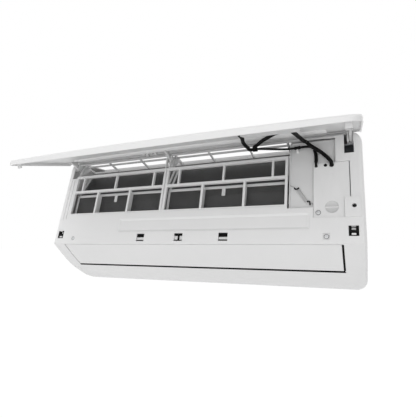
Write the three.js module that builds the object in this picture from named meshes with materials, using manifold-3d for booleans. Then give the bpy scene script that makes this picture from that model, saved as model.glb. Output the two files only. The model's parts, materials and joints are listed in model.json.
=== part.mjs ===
// Wall-hung indoor unit of a split air conditioner, standing open for cleaning.
// Millimetres, +Z up. X runs along the unit, Y = 0 is the wall and the front faces -Y.
import * as THREE from 'three';
import { mergeVertices } from 'three/addons/utils/BufferGeometryUtils.js';
import Module from 'manifold-3d';

const wasm = await Module();
wasm.setup();

// ---- overall sizes ----
const bodyWidth = 722;
const bodyHeight = 312;
const chinDepth = 180.2; // wall to the front edge of the chin, where the flap starts
const seatLean = THREE.MathUtils.degToRad(14.26); // the front leans back by this much
const chinDrop = 60.6; // chin below mid height
const bottomDepth = 44; // the underside is level from the wall to here
const endRadius = 8; // rounding of the end walls
const cornerRadius = 27; // rounding of the corners in front view
const shellWall = 2.6;
const fit = 0.3; // gap between pieces that touch
const slip = 0.6; // gap round pieces that slide or turn
const trayDepth = 14; // rear chassis, wall to its front edge

const left = -bodyWidth / 2;
const right = bodyWidth / 2;
const top = bodyHeight / 2;
const bottom = -bodyHeight / 2;

// ---- front face: s runs up the leaning face from the chin line, n stands out of it ----
const chinRise = 13; // the s = 0 line lies this far above the chin
const seatUp = new THREE.Vector3(0, Math.sin(seatLean), Math.cos(seatLean));
const seatOut = new THREE.Vector3(0, -Math.cos(seatLean), Math.sin(seatLean));
const seatOrigin = new THREE.Vector3(0, -chinDepth, -chinDrop).addScaledVector(seatUp, chinRise);
const seatTop = (top - seatOrigin.z) / Math.cos(seatLean);

// ---- inlet and service opening in the front face ----
const inletLeft = left + 31;
const inletRight = right - 137.5;
const inletLow = 62;
const stripHeight = 6.5; // front strip above the openings
const inletHigh = seatTop - stripHeight;
const latticeDepth = 6;
const ribWidth = 5;
const railWidth = 6;
const midRail = 124;
const topRail = 166;
const centrePost = -57; // middle of the double post
const centreGap = 3;
const ribStep = 96;
const upperRibs = [-247, -143, -34, 34, 143, 250]; // from the centre post
const guideWidth = 3;

const serviceLow = 37;
const serviceLeftLow = 57;
const serviceStep = right - 89; // left edge of the terminal cover
const serviceHigh = 200;
const serviceRight = right - 23;
const serviceTopRight = right - 48;
const serviceShoulder = 148;
const bracketLow = 36;
const bracketHigh = 75;
const bracketLeft = right - 34;

// ---- hinge slots and panel ----
const slotLow = 164;
const slotHigh = 206;
const slotWidth = 17;
const slotInset = 23.5; // end wall to the middle of the outer slots
const pivotRise = 196;
const pivotSink = 8; // pivot behind the front face
const panelOpenAngle = 64.2;
const panelGap = 2.6;
const panelDepth = 12.5;
const panelCrown = 3.5;
const panelBow = 6;
const panelSkin = 2.4;
const panelLow = -4;
const panelHigh = 212;
const panelCorner = 22;
const panelHalf = bodyWidth / 2 - 1;
const rimEnd = 184; // the side rims stop here and leave room for the top edge of the body
const rearLip = 6.4; // the lip along the panel's rear edge comes down to here
const armThickness = 5;
const pinRadius = 2;
const cheekGap = 3.5; // middle of an arm to the cheek beside it
const cheekWall = 3;

// ---- latches and windows ----
const latchInset = 20.5;
const latchWidth = 17;
const latchHeight = 19;
const latchRise = 11;
const windowWidth = 20;
const windowHeight = 17;
const windowPlaces = [-101, -5, 97];
const windowRise = 2;

// ---- air flap and outlet ----
const flapHalf = right - 40;
const flapGap = 1.4;
const flapShort = 2.6; // the flap stops this far above the outlet's lower edge
const flapEndGap = 2.4; // and this far inside each end of it
const flapThickness = 3;
const flapPivotIn = 8; // behind the outer face
const flapPivotUp = 13; // above the lower edge
const flapPin = 2.2;
const ductHalf = right - 43;
const ductWall = 2.5;
const panHalf = ductHalf + 22; // the pan also catches drips from the coil's return bends

// ---- fan, coil, filters ----
const fanRadius = 46;
const fanBladeDepth = 13;
const fanBlades = 18;
const fanBays = 4;
const fanCentreY = -66;
const fanCentreZ = -20;
const fanLeft = left + 49;
const fanRight = right - 149;
const coilLeft = left + 43;
const coilRight = right - 146;
const coilThickness = 24;
const filterDepth = 17; // behind the front face
const filterFrame = 2.4;
const filterBar = 6;
const netThickness = 0.8;
const netStrand = 1.6;
const netColumns = 8;
const filterLow = 56;
const bendRise = 117;

// ---- leads ----
const leadRadius = 3.3;
const thinLeadRadius = 2.1;

const colours = {
  shell: 0xe2e2e2,
  inner: 0xcfcfcf,
  shade: 0xb8b8b8,
  mesh: 0x464646,
  black: 0x0c0c0c,
  steel: 0xb4b6b8,
  zinc: 0xc4c6c8,
  copper: 0xb87352,
  aluminium: 0xc9ccce,
  board: 0x2f6b45,
  fan: 0x2b2c2e,
  rubber: 0x1d1d1d,
};

const material = (name, roughness = 0.5, metalness = 0) =>
  new THREE.MeshStandardMaterial({ color: colours[name], roughness, metalness });

// ---- solids ----
function toSolid(geometry) {
  const bare = geometry.clone();
  bare.deleteAttribute('normal');
  bare.deleteAttribute('uv');
  const merged = mergeVertices(bare, 1e-3);
  const corners = merged.index.array;
  const faces = [];
  for (let i = 0; i < corners.length; i += 3) {
    const [a, b, c] = corners.slice(i, i + 3);
    if (a !== b && b !== c && c !== a) faces.push(a, b, c);
  }
  return new wasm.Manifold(
    new wasm.Mesh({
      numProp: 3,
      vertProperties: new Float32Array(merged.attributes.position.array),
      triVerts: new Uint32Array(faces),
    }),
  );
}

function toGeometry(solid) {
  const mesh = solid.getMesh();
  const geometry = new THREE.BufferGeometry();
  geometry.setAttribute('position', new THREE.BufferAttribute(new Float32Array(mesh.vertProperties), 3));
  geometry.setIndex(new THREE.BufferAttribute(new Uint32Array(mesh.triVerts), 1));
  geometry.computeVertexNormals();
  return geometry;
}

const joinAll = (solids) => solids.reduce((whole, piece) => whole.add(piece));

function box(x0, x1, y0, y1, z0, z1) {
  const geometry = new THREE.BoxGeometry(x1 - x0, y1 - y0, z1 - z0);
  geometry.translate((x0 + x1) / 2, (y0 + y1) / 2, (z0 + z1) / 2);
  return toSolid(geometry);
}

// A cut into a face at z = 0 whose four sides slope in towards its floor.
function slopedCut(x0, x1, y0, y1, depth, slope) {
  const geometry = new THREE.BoxGeometry(x1 - x0, y1 - y0, 2 * depth);
  const corners = geometry.attributes.position;
  for (let i = 0; i < corners.count; i += 1) {
    const widen = Math.sign(corners.getZ(i)) * slope;
    corners.setX(i, corners.getX(i) + Math.sign(corners.getX(i)) * widen);
    corners.setY(i, corners.getY(i) + Math.sign(corners.getY(i)) * widen);
  }
  geometry.translate((x0 + x1) / 2, (y0 + y1) / 2, 0);
  return toSolid(geometry);
}

// A cylinder from one point to another.
function rod(from, to, radius, sides = 16) {
  const start = new THREE.Vector3(...from);
  const run = new THREE.Vector3(...to).sub(start);
  const geometry = new THREE.CylinderGeometry(radius, radius, run.length(), sides);
  const turn = new THREE.Quaternion().setFromUnitVectors(new THREE.Vector3(0, 1, 0), run.clone().normalize());
  geometry.applyQuaternion(turn);
  geometry.translate(...start.addScaledVector(run, 0.5).toArray());
  return toSolid(geometry);
}

function outline(points) {
  return new THREE.Shape(points.map(([a, b]) => new THREE.Vector2(a, b)));
}

// An outline in (y, z) run along X.
function alongX(shape, x0, x1, curveSegments = 8) {
  const geometry = new THREE.ExtrudeGeometry(shape, { depth: x1 - x0, bevelEnabled: false, curveSegments });
  const axes = new THREE.Matrix4().makeBasis(
    new THREE.Vector3(0, 1, 0),
    new THREE.Vector3(0, 0, 1),
    new THREE.Vector3(1, 0, 0),
  );
  geometry.applyMatrix4(axes);
  geometry.translate(x0, 0, 0);
  return toSolid(geometry);
}

// An outline in (x, second axis) given a thickness from n0 to n1 along the third axis.
function plate(shape, n0, n1, curveSegments = 8) {
  const geometry = new THREE.ExtrudeGeometry(shape, { depth: n1 - n0, bevelEnabled: false, curveSegments });
  geometry.translate(0, 0, n0);
  return toSolid(geometry);
}

// An outline in (x, z) run along Y from yFront to yBack.
function alongY(shape, yFront, yBack, curveSegments = 8) {
  const geometry = new THREE.ExtrudeGeometry(shape, { depth: yBack - yFront, bevelEnabled: false, curveSegments });
  const axes = new THREE.Matrix4().makeBasis(
    new THREE.Vector3(1, 0, 0),
    new THREE.Vector3(0, 0, 1),
    new THREE.Vector3(0, -1, 0),
  );
  geometry.applyMatrix4(axes);
  geometry.translate(0, yBack, 0);
  return toSolid(geometry);
}

function roundedRect(x0, x1, z0, z1, radius) {
  const shape = new THREE.Shape();
  shape.moveTo(x0 + radius, z0);
  shape.lineTo(x1 - radius, z0);
  shape.absarc(x1 - radius, z0 + radius, radius, -Math.PI / 2, 0);
  shape.lineTo(x1, z1 - radius);
  shape.absarc(x1 - radius, z1 - radius, radius, 0, Math.PI / 2);
  shape.lineTo(x0 + radius, z1);
  shape.absarc(x0 + radius, z1 - radius, radius, Math.PI / 2, Math.PI);
  shape.lineTo(x0, z0 + radius);
  shape.absarc(x0 + radius, z0 + radius, radius, Math.PI, Math.PI * 1.5);
  return shape;
}

// Rings of equal length, one at each place along X, skinned and capped.
function loft(stations) {
  const count = stations[0].ring.length;
  const positions = stations.flatMap(({ x, ring }) => ring.flatMap(([y, z]) => [x, y, z]));
  const index = [];
  for (let i = 0; i + 1 < stations.length; i += 1) {
    for (let k = 0; k < count; k += 1) {
      const a = i * count + k;
      const b = i * count + ((k + 1) % count);
      index.push(a, b, b + count, a, b + count, a + count);
    }
  }
  const caps = THREE.ShapeUtils.triangulateShape(
    stations[0].ring.map(([y, z]) => new THREE.Vector2(y, z)),
    [],
  );
  const last = (stations.length - 1) * count;
  caps.forEach(([a, b, c]) => index.push(a, c, b, last + a, last + b, last + c));
  const geometry = new THREE.BufferGeometry();
  geometry.setAttribute('position', new THREE.Float32BufferAttribute(positions, 3));
  geometry.setIndex(index);
  return toSolid(geometry);
}

// A convex outline with every edge moved inwards.
function inset(points, distance) {
  const count = points.length;
  const edges = points.map((point, i) => {
    const next = points[(i + 1) % count];
    const along = new THREE.Vector2(next[0] - point[0], next[1] - point[1]).normalize();
    const inward = new THREE.Vector2(-along.y, along.x);
    return { start: new THREE.Vector2(...point).addScaledVector(inward, distance), along };
  });
  return edges.map((edge, i) => {
    const before = edges[(i + count - 1) % count];
    const cross = before.along.cross(edge.along);
    const reach = edge.start.clone().sub(before.start).cross(edge.along) / cross;
    return before.start.clone().addScaledVector(before.along, reach).toArray();
  });
}

// A line in (y, z) moved to its left.
function shifted(points, distance) {
  const line = points.map(([y, z]) => new THREE.Vector2(y, z));
  return line.map((point, i) => {
    const before = line[Math.max(i - 1, 0)];
    const after = line[Math.min(i + 1, line.length - 1)];
    const along = after.clone().sub(before).normalize();
    return point.clone().add(new THREE.Vector2(-along.y, along.x).multiplyScalar(distance));
  });
}

// A thick wall that follows a line in (y, z).
function wallAlong(points, thickness) {
  return new THREE.Shape([...shifted(points, 0), ...shifted(points, thickness).reverse()]);
}

function tubeAlong(curve, radius, steps, sides = 8) {
  const section = Array.from({ length: sides }, (_, i) => {
    const angle = (i / sides) * Math.PI * 2;
    return new THREE.Vector2(radius * Math.cos(angle), radius * Math.sin(angle));
  });
  const options = { steps, extrudePath: curve, bevelEnabled: false };
  return new THREE.ExtrudeGeometry(new THREE.Shape(section), options);
}

function tube(points, radius, steps, sides = 8) {
  return tubeAlong(new THREE.CatmullRomCurve3(points), radius, steps, sides);
}

// ---- scene graph ----
const unit = new THREE.Group();
const seat = new THREE.Group();
seat.position.copy(seatOrigin);
seat.rotation.x = Math.PI / 2 - seatLean;
unit.add(seat);

// The raised panel: a frame like the seat's, turned about the hinge line.
const panelHinge = new THREE.Group();
panelHinge.position.set(0, pivotRise, -pivotSink);
panelHinge.rotation.x = -THREE.MathUtils.degToRad(panelOpenAngle);
seat.add(panelHinge);
const panel = new THREE.Group();
panel.position.set(0, -pivotRise, pivotSink);
panelHinge.add(panel);

function add(name, solid, finish, parent = unit) {
  const geometry = solid instanceof THREE.BufferGeometry ? solid : toGeometry(solid);
  const mesh = new THREE.Mesh(geometry, finish);
  mesh.name = name;
  parent.add(mesh);
  return mesh;
}

// A point given on the front face, in the part's frame.
function onSeat(x, s, n) {
  return new THREE.Vector3(x, 0, 0).add(seatOrigin).addScaledVector(seatUp, s).addScaledVector(seatOut, n);
}

// A point given on the shut panel, in the part's frame with the panel raised.
function onPanel(x, s, n) {
  unit.updateMatrixWorld(true);
  return panel.localToWorld(new THREE.Vector3(x, s, n));
}

// A solid modelled on the front face, moved into the part's frame.
function fromSeat(solid) {
  const geometry = toGeometry(solid);
  geometry.rotateX(Math.PI / 2 - seatLean);
  geometry.translate(...seatOrigin.toArray());
  return toSolid(geometry);
}

// ---- casing profile, in (y, z), anticlockwise seen from +X ----
const chin = [-chinDepth, -chinDrop];
const flapFoot = [-122.5, bottom + 43];
const flapBulges = [[0, 0], [0.306, 1], [0.677, 1.3], [1, 0]]; // share of the chord, bulge
const flapChord = new THREE.Vector2(flapFoot[0] - chin[0], flapFoot[1] - chin[1]);
const flapDirection = flapChord.clone().normalize();
const flapInward = new THREE.Vector2(-flapDirection.y, flapDirection.x);
const flapLine = flapBulges.map(([share, bulge]) =>
  new THREE.Vector2(...chin).addScaledVector(flapChord, share).addScaledVector(flapInward, -bulge).toArray());
const topFront = onSeat(0, seatTop, 0);
const bodyProfile = [
  ...flapLine,
  [-104, bottom + 30.5],
  [-84, bottom + 19.5],
  [-64, bottom + 9],
  [-bottomDepth, bottom + 1.5],
  [20, bottom],
  [20, top],
  [topFront.y + 9, top],
  [topFront.y - 1.6, top - 6.5],
];

function casingSolid(margin) {
  const ring = margin > 0 ? inset(bodyProfile, margin) : bodyProfile;
  const half = bodyWidth / 2 - margin;
  const rounding = endRadius - margin / 2;
  const steps = [90, 60, 30, 0].map((degrees) => THREE.MathUtils.degToRad(degrees));
  const endStations = steps.map((angle) => ({
    x: half - rounding + rounding * Math.sin(angle),
    ring: inset(ring, rounding - rounding * Math.cos(angle) + 1e-3),
  }));
  const stations = [
    ...endStations.map(({ x, ring: section }) => ({ x: -x, ring: section })),
    ...endStations.slice().reverse(),
  ];
  const front = roundedRect(-half, half, bottom + margin, top - margin, cornerRadius - margin);
  return loft(stations).intersect(alongY(front, -chinDepth - 20, 30, 6));
}

// ---- casing ----
function mountingPlate() {
  const half = 235;
  const low = -88;
  const high = hookHeight;
  const sheet = 1.2;
  const screwRadius = 2.4;
  const screwPlaces = [
    [-210, high - 18], [0, high - 18], [210, high - 18],
    [-210, low + 18], [120, low + 18], [210, low + 18],
  ];
  const cuts = [
    ...screwPlaces.map(([x, z]) => rod([x, -5, z], [x, 5, z], screwRadius, 8)),
    box(-150, -70, -5, 5, -30, 40),
    box(60, 150, -5, 5, -30, 40),
  ];
  const hooks = hookPlaces.flatMap((x) => [
    box(x - hookHalf, x + hookHalf, -hookReach, -sheet / 2, high - 6, high - 6 + sheet),
    box(x - hookHalf, x + hookHalf, -hookReach, -hookReach + sheet, high - 6, high + 3),
  ]);
  const plateSolid = alongY(roundedRect(-half, half, low, high, 12), -sheet, 0, 6);
  return joinAll([plateSolid.subtract(joinAll(cuts)), ...hooks]);
}
const hookPlaces = [-190, 190];
const hookHalf = 14;
const hookHeight = 98;
const hookReach = 9.5;

const backWall = 2.8; // thickness of the rear chassis wall
const backFace = -2; // its rear face

function rearChassis() {
  const half = bodyWidth / 2 - shellWall - 1;
  const outer = roundedRect(-half, half, bottom + 4, top, cornerRadius - 6);
  const wall = alongY(outer, backFace - backWall, backFace, 6);
  const lip = alongY(outer, -trayDepth + fit, backFace, 6);
  const inner = roundedRect(-half + 3, half - 3, bottom + 7, top - 3, cornerRadius - 9);
  const rim = lip.subtract(alongY(inner, -40, 40, 6));
  const rail = box(inletLeft + fit, inletRight - fit, -railDepth, backFace, top - 9, top);
  const railHollow = box(inletLeft + 3, inletRight - 3, -railDepth + 2.5, backFace - backWall, top - 20, top - 3);
  const hooks = hookPlaces.map((x) =>
    box(
      x - hookHalf - 1, x + hookHalf + 1,
      -hookReach - fit, backFace + 1, hookHeight - 8, hookHeight + 4,
    ),
  );
  const pipeHole = alongY(roundedRect(left + 60, left + 150, bottom + 14, bottom + 58, 10), -40, 20, 6);
  const solid = joinAll([wall, rim, rail.subtract(railHollow)]);
  return solid.subtract(joinAll(hooks)).subtract(pipeHole);
}
const railDepth = 28; // rear top rail, wall to its front edge

function frontFrame() {
  const outer = casingSolid(0);
  const inner = casingSolid(shellWall);
  const behind = box(left - 5, right + 5, -trayDepth, 60, bottom - 5, top + 5);
  const shell = outer.subtract(inner).subtract(behind);
  const added = [
    fromSeat(box(inletLeft, serviceTopRight, inletHigh, seatTop - 1, -8, -0.5)).intersect(outer),
    flapBearing(-1),
    flapBearing(1),
  ];
  const seatCuts = fromSeat(joinAll(frontCuts()));
  // top opening, between the front strip and the rear rail
  const topHole = box(inletLeft, inletRight, topFront.y + 9, 10, top - 20, top + 10);
  const mouth = alongX(
    outline([
      [chin[0] - 20, chin[1] - 11],
      [chin[0] + 0.9, chin[1] - flapGap],
      [chin[0] + 3, chin[1] + 3],
      [chin[0] + 20, chin[1] + 3],
      [-100, flapFoot[1] + 30],
      [flapFoot[0] + 20, flapFoot[1] - flapGap + 6],
      [flapFoot[0] + flapGap, flapFoot[1] - flapGap],
      [flapFoot[0] - 20, flapFoot[1] - 25],
    ]),
    -flapHalf - flapGap,
    flapHalf + flapGap,
  );
  const onFace = [
    hingeBracket(armPlaces[0], slotHigh + 3),
    hingeBracket(armPlaces[2], slotHigh + 3),
    buttonBracket(),
  ];
  const bore = fromSeat(rod([buttonX, buttonRise, -20], [buttonX, buttonRise, 10], buttonRadius, 20));
  return joinAll([shell, ...added])
    .subtract(seatCuts)
    .subtract(topHole)
    .subtract(mouth)
    .add(fromSeat(joinAll(onFace)))
    .subtract(bore);
}

// Everything that is cut through or into the front face, in its own frame.
function frontCuts() {
  const serviceShape = outline([
    [inletLeft, inletLow],
    [inletRight + fit, inletLow],
    [inletRight + fit, serviceLeftLow],
    [serviceStep, serviceLeftLow],
    [serviceStep, serviceLow],
    [bracketLeft, serviceLow],
    [bracketLeft, bracketHigh],
    [serviceRight, bracketHigh],
    [serviceRight, serviceShoulder],
    [serviceTopRight, serviceShoulder],
    [serviceTopRight, serviceHigh],
    [inletRight + fit, inletHigh],
    [inletLeft, inletHigh],
  ]);
  const through = (x, s, width, height) =>
    box(x - width / 2, x + width / 2, s - height / 2, s + height / 2, -20, 10);
  return [
    plate(serviceShape, -30, 10),
    ...[left + slotInset, right - slotInset].map((x) =>
      through(x, (slotLow + slotHigh) / 2, slotWidth, slotHigh - slotLow)),
    ...latchPlaces.map((x) => through(x, latchRise, latchWidth, latchHeight)),
    ...windowPlaces.map((x) => through(x, windowRise, windowWidth, windowHeight)),
    ...screwPlaces.map((x) => rod([x, screwRise, -20], [x, screwRise, 10], 2.4, 12)),
    slopedCut(left + 195, right - 95, 15, 47, recessDepth, recessSlope),
    rod([screwPlaces[0], screwRise, -screwSeat], [screwPlaces[0], screwRise, 10], 4.6, 20),
    box(screwPlaces[1] - 6, screwPlaces[1] + 6, screwRise - 6, screwRise + 6, -screwSeat, 10),
    ...[left + 16, left + 25].map((x) => box(x - 0.8, x + 0.8, 50, slotLow - 4, -1.2, 10)),
  ];
}
const recessDepth = 1.7; // shallow recess for a card
const recessSlope = 4.5; // its sides slope in over this width
const latchPlaces = [left + latchInset, right - latchInset];
const screwPlaces = [left + 63, right - 66];
const screwRise = 1;
const screwSeat = 1.6; // depth of the seats that the screw heads lie in
const screwHead = 1.7;
const armPlaces = [left + 20, centrePost, right - 20];
const buttonX = right - 18;
const buttonRise = 57.5;
const buttonRadius = 4;

function inletLattice() {
  const x0 = inletLeft + fit;
  const x1 = inletRight;
  const low = inletLow + fit;
  const high = topRail + railWidth / 2;
  const postStart = centreGap / 2;
  const postEnd = postStart + ribWidth;
  const lowerRibs = [-2, -1, 1, 2].map((step) => centrePost + step * ribStep);
  const rows = [
    { from: low + 3, to: midRail - railWidth / 2, ribs: lowerRibs, width: ribWidth },
    {
      from: midRail + railWidth / 2,
      to: high - railWidth,
      ribs: upperRibs.map((offset) => centrePost + offset),
      width: ribWidth - 1,
    },
  ];
  const windows = rows.flatMap(({ from, to, ribs, width }) =>
    [[x0 + ribWidth, centrePost - postEnd], [centrePost + postEnd, x1 - ribWidth]].flatMap(([start, end]) => {
      const between = ribs.filter((x) => x > start && x < end);
      const starts = [start, ...between.map((x) => x + width / 2)];
      const ends = [...between.map((x) => x - width / 2), end];
      return starts.map((x, i) => box(x, ends[i], from, to, -latticeDepth - 1, 1));
    }),
  );
  const seam = box(centrePost - postStart, centrePost + postStart, low + 3, high - 3, -2.5, 1);
  const cheeks = [-1, 1].map((side) => {
    const x = centrePost + side * (cheekGap + cheekWall / 2);
    return box(x - cheekWall / 2, x + cheekWall / 2, high - 2, inletHigh - fit, -latticeDepth + 1, -0.5);
  });
  // ribs behind the bars, which the filters rest against
  const guides = lowerRibs.map((x) => box(
    x - guideWidth / 2, x + guideWidth / 2,
    low + 1, bendRise - filterBar / 2 - fit, -filterDepth + filterFrame / 2 + fit, -1,
  ));
  const bars = box(x0, x1, low, high, -latticeDepth, 0).subtract(joinAll([...windows, seam]));
  return joinAll([bars, ...cheeks, hingeBracket(centrePost, inletHigh - fit - 0.5), ...guides]);
}

// Gussets, sloping guide ribs and the two long bars behind the top edge of the front.
function topGrille() {
  const ribAngleTop = [topFront.y + 11, top - 3.4];
  const rearBar = [topFront.y + 50.6, top - 18];
  const reach = new THREE.Vector2(rearBar[0] - ribAngleTop[0], rearBar[1] - ribAngleTop[1]);
  const pitch = Math.atan2(reach.y, reach.x);
  const ribs = [-2, -1, 1, 2].map((step) => centrePost + step * ribStep + (step < 0 ? 6 : 0));
  const sloped = (x, length, width, depth) => {
    const geometry = new THREE.BoxGeometry(width, length, depth);
    geometry.translate(0, length / 2, -depth / 2);
    geometry.rotateX(pitch);
    geometry.translate(x, ribAngleTop[0], ribAngleTop[1]);
    return toSolid(geometry);
  };
  const span = reach.length();
  const ends = [inletLeft + 5, centrePost + cheekGap + cheekWall + 3, inletRight - 4];
  const pieces = [
    ...ribs.map((x) => sloped(x, span + 24, 2.4, 5)),
    ...ends.map((x) => sloped(x, span + 24, 4, 5)),
    box(inletLeft + 3, inletRight - 2, rearBar[0] - 2, rearBar[0] + 3, rearBar[1] - 4, rearBar[1] + 1),
    box(inletLeft + 3, inletRight - 2, topFront.y + 17, topFront.y + 21, top - 12, top - 8),
  ];
  const railBack = onSeat(0, topRail + railWidth / 2 + fit, -latticeDepth);
  const railFront = onSeat(0, topRail + railWidth / 2 + fit, -1);
  ends.slice(0, 2).forEach((x) => {
    const gusset = outline([
      [railFront.y, railFront.z],
      [railBack.y, railBack.z],
      [topFront.y + 34, top - 14],
      [ribAngleTop[0] + 4, ribAngleTop[1] - 2],
      [ribAngleTop[0], ribAngleTop[1] - 4],
      [ribAngleTop[0] - 6, ribAngleTop[1] - 12],
    ]);
    pieces.push(alongX(gusset, x - 2, x + 2));
  });
  return joinAll(pieces);
}

// ---- air path ----
const guideLine = [
  [-11, 62],
  [-7.6, 30],
  [-7.6, -5],
  [-12, -35],
  [-22, -60],
  [-40, -80],
  [-62, -93],
  [-90, -103],
  [-111, -108.5],
];

function airGuide() {
  return alongX(wallAlong(guideLine.slice().reverse(), -ductWall), -ductHalf, ductHalf);
}

const vaneStep = 100;
const vanePlaces = [-2.5, -1.5, -0.5, 0.5, 1.5, 2.5].map((share) => share * vaneStep);
const vaneAxis = new THREE.Vector2(0.22, -0.9755);
const vaneFlow = new THREE.Vector2(-0.9755, -0.22);
const vaneTop = new THREE.Vector2(-136, -56.4);
const vanePin = 1.6;
const vanePeg = 1.2;
const vaneArc = 1.3;

function drainPan() {
  const section = outline([
    [-171, -63.4],
    [-112.5, -51],
    [-110.5, -40],
    [-113, -32],
    [-115.5, -32],
    [-114.5, -43],
    [-121, -50],
    [-155, -57.5],
    [-158, -34],
    [-160.5, -34],
    [-160.5, -58.5],
    [-171, -60.9],
  ]);
  let pan = alongX(section, -panHalf, panHalf);
  const ends = outline([
    [-160.5, -60], [-113, -50], [-111, -40], [-113, -32], [-160.5, -34],
  ]);
  pan = pan.add(alongX(ends, -panHalf, -panHalf + 2.5)).add(alongX(ends, panHalf - 2.5, panHalf));
  // tongues that snap into the three windows of the front frame
  windowPlaces.forEach((x) => {
    const arm = outline([[-160, -46.5], [-173, -46.5], [-173, -50], [-160, -50]]);
    const tip = fromSeat(box(
      x - windowWidth / 2 - 2.5, x + windowWidth / 2 + 2.5,
      windowRise - 5, windowRise + 3, -shellWall - 2.2, -shellWall - fit,
    ));
    pan = pan.add(alongX(arm, x - 5, x + 5)).add(tip);
  });
  vanePlaces.forEach((x) => {
    const from = [x, vaneTop.x + vaneAxis.x * 6, vaneTop.y + vaneAxis.y * 6];
    const to = [x, vaneTop.x - vaneAxis.x * 12, vaneTop.y - vaneAxis.y * 12];
    pan = pan.subtract(rod(from, to, vanePin + fit, 10));
  });
  return pan;
}

function vane(x) {
  // a blade in (y, z) with a pin into the drain pan
  const at = (flow, down) => [
    vaneTop.x + vaneFlow.x * flow + vaneAxis.x * down,
    vaneTop.y + vaneFlow.y * flow + vaneAxis.y * down,
  ];
  const blade = outline([
    at(-16, 1.6), at(16, 1.6), at(15, 6), at(4, 22), at(-8, 33), at(-15, 33), at(-19, 12),
  ]);
  const pinTop = vaneTop.clone().addScaledVector(vaneAxis, -2.2);
  const pinFoot = vaneTop.clone().addScaledVector(vaneAxis, 3);
  const tip = at(-12.5, 31);
  const peg = new THREE.Vector2(...tip).addScaledVector(vaneAxis, 5);
  return joinAll([
    alongX(blade, x - 0.9, x + 0.9),
    rod([x, pinTop.x, pinTop.y], [x, pinFoot.x, pinFoot.y], vanePin, 10),
    rod([x, tip[0], tip[1]], [x, peg.x, peg.y], vanePeg, 8),
  ]);
}

function vaneLink(places) {
  const along = new THREE.Vector2(vaneTop.x, vaneTop.y)
    .addScaledVector(vaneFlow, -12.5)
    .addScaledVector(vaneAxis, 33 + fit);
  const low = along.clone().addScaledVector(vaneAxis, 2);
  const half = new THREE.Vector2(vaneFlow.x * 5, vaneFlow.y * 5);
  const section = outline([
    [along.x - half.x, along.y - half.y],
    [along.x + half.x, along.y + half.y],
    [low.x + half.x, low.y + half.y],
    [low.x - half.x, low.y - half.y],
  ]);
  let bar = alongX(section, places[0] - 6, places[places.length - 1] + 6);
  // each hole is long enough for the arc that its peg swings through
  places.forEach((x) => {
    [0, vaneArc].forEach((shift) => {
      const from = along.clone().addScaledVector(vaneAxis, -3).addScaledVector(vaneFlow, shift);
      const to = along.clone().addScaledVector(vaneAxis, 6).addScaledVector(vaneFlow, shift);
      bar = bar.subtract(rod([x, from.x, from.y], [x, to.x, to.y], vanePeg + slip, 10));
    });
  });
  return bar;
}

const flapPivot = new THREE.Vector2(...flapFoot)
  .addScaledVector(flapDirection, -flapPivotUp)
  .addScaledVector(flapInward, flapPivotIn);

function flap() {
  const face = flapLine.map(([y, z]) => new THREE.Vector2(y, z));
  face[0].addScaledVector(flapDirection, flapGap + 1);
  face[face.length - 1].addScaledVector(flapDirection, -flapShort);
  const back = face.map((point) => point.clone().addScaledVector(flapInward, flapThickness));
  const bladeHalf = flapHalf + flapGap - flapEndGap;
  const blade = alongX(new THREE.Shape([...face, ...back.reverse()]), -bladeHalf, bladeHalf);
  const ears = [-flapHalf + 4, 0, flapHalf - 4].map((x) => {
    const root = new THREE.Vector2(...flapFoot)
      .addScaledVector(flapDirection, -flapPivotUp)
      .addScaledVector(flapInward, flapThickness - 0.5);
    const ear = outline([
      root.clone().addScaledVector(flapDirection, -9).toArray(),
      root.clone().addScaledVector(flapDirection, 7).toArray(),
      flapPivot.clone().addScaledVector(flapDirection, 3.4).addScaledVector(flapInward, 2.6).toArray(),
      flapPivot.clone().addScaledVector(flapDirection, -3.4).addScaledVector(flapInward, 2.6).toArray(),
    ]);
    return alongX(ear, x - 2, x + 2);
  });
  const pins = [
    rod([-flapHalf - 6, flapPivot.x, flapPivot.y], [-flapHalf + 5, flapPivot.x, flapPivot.y], flapPin, 12),
    rod([flapHalf - 5, flapPivot.x, flapPivot.y], [flapHalf + 6, flapPivot.x, flapPivot.y], flapPin, 12),
  ];
  return joinAll([blade, ...ears, ...pins]);
}

// The webs at the ends of the outlet that carry the flap's pins.
function flapBearing(side) {
  const inside = side * (flapHalf + flapGap);
  const outside = side * (flapHalf + flapGap + 6);
  const x0 = Math.min(inside, outside);
  const x1 = Math.max(inside, outside);
  const boss = outline([
    ...[0, 3].map((i) => [flapLine[i][0] + (i ? 8 : -4), flapLine[i][1] + (i ? -6 : 2)]),
    [flapPivot.x + 8, flapPivot.y + 2],
    [flapPivot.x + 2, flapPivot.y + 8],
    [chin[0] + 8.5, chin[1] - 4.6],
  ]);
  const hole = rod(
    [x0 - 1, flapPivot.x, flapPivot.y], [x1 + 1, flapPivot.x, flapPivot.y], flapPin + fit, 12,
  );
  return alongX(boss, x0, x1).intersect(casingSolid(shellWall / 2)).subtract(hole);
}

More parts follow.
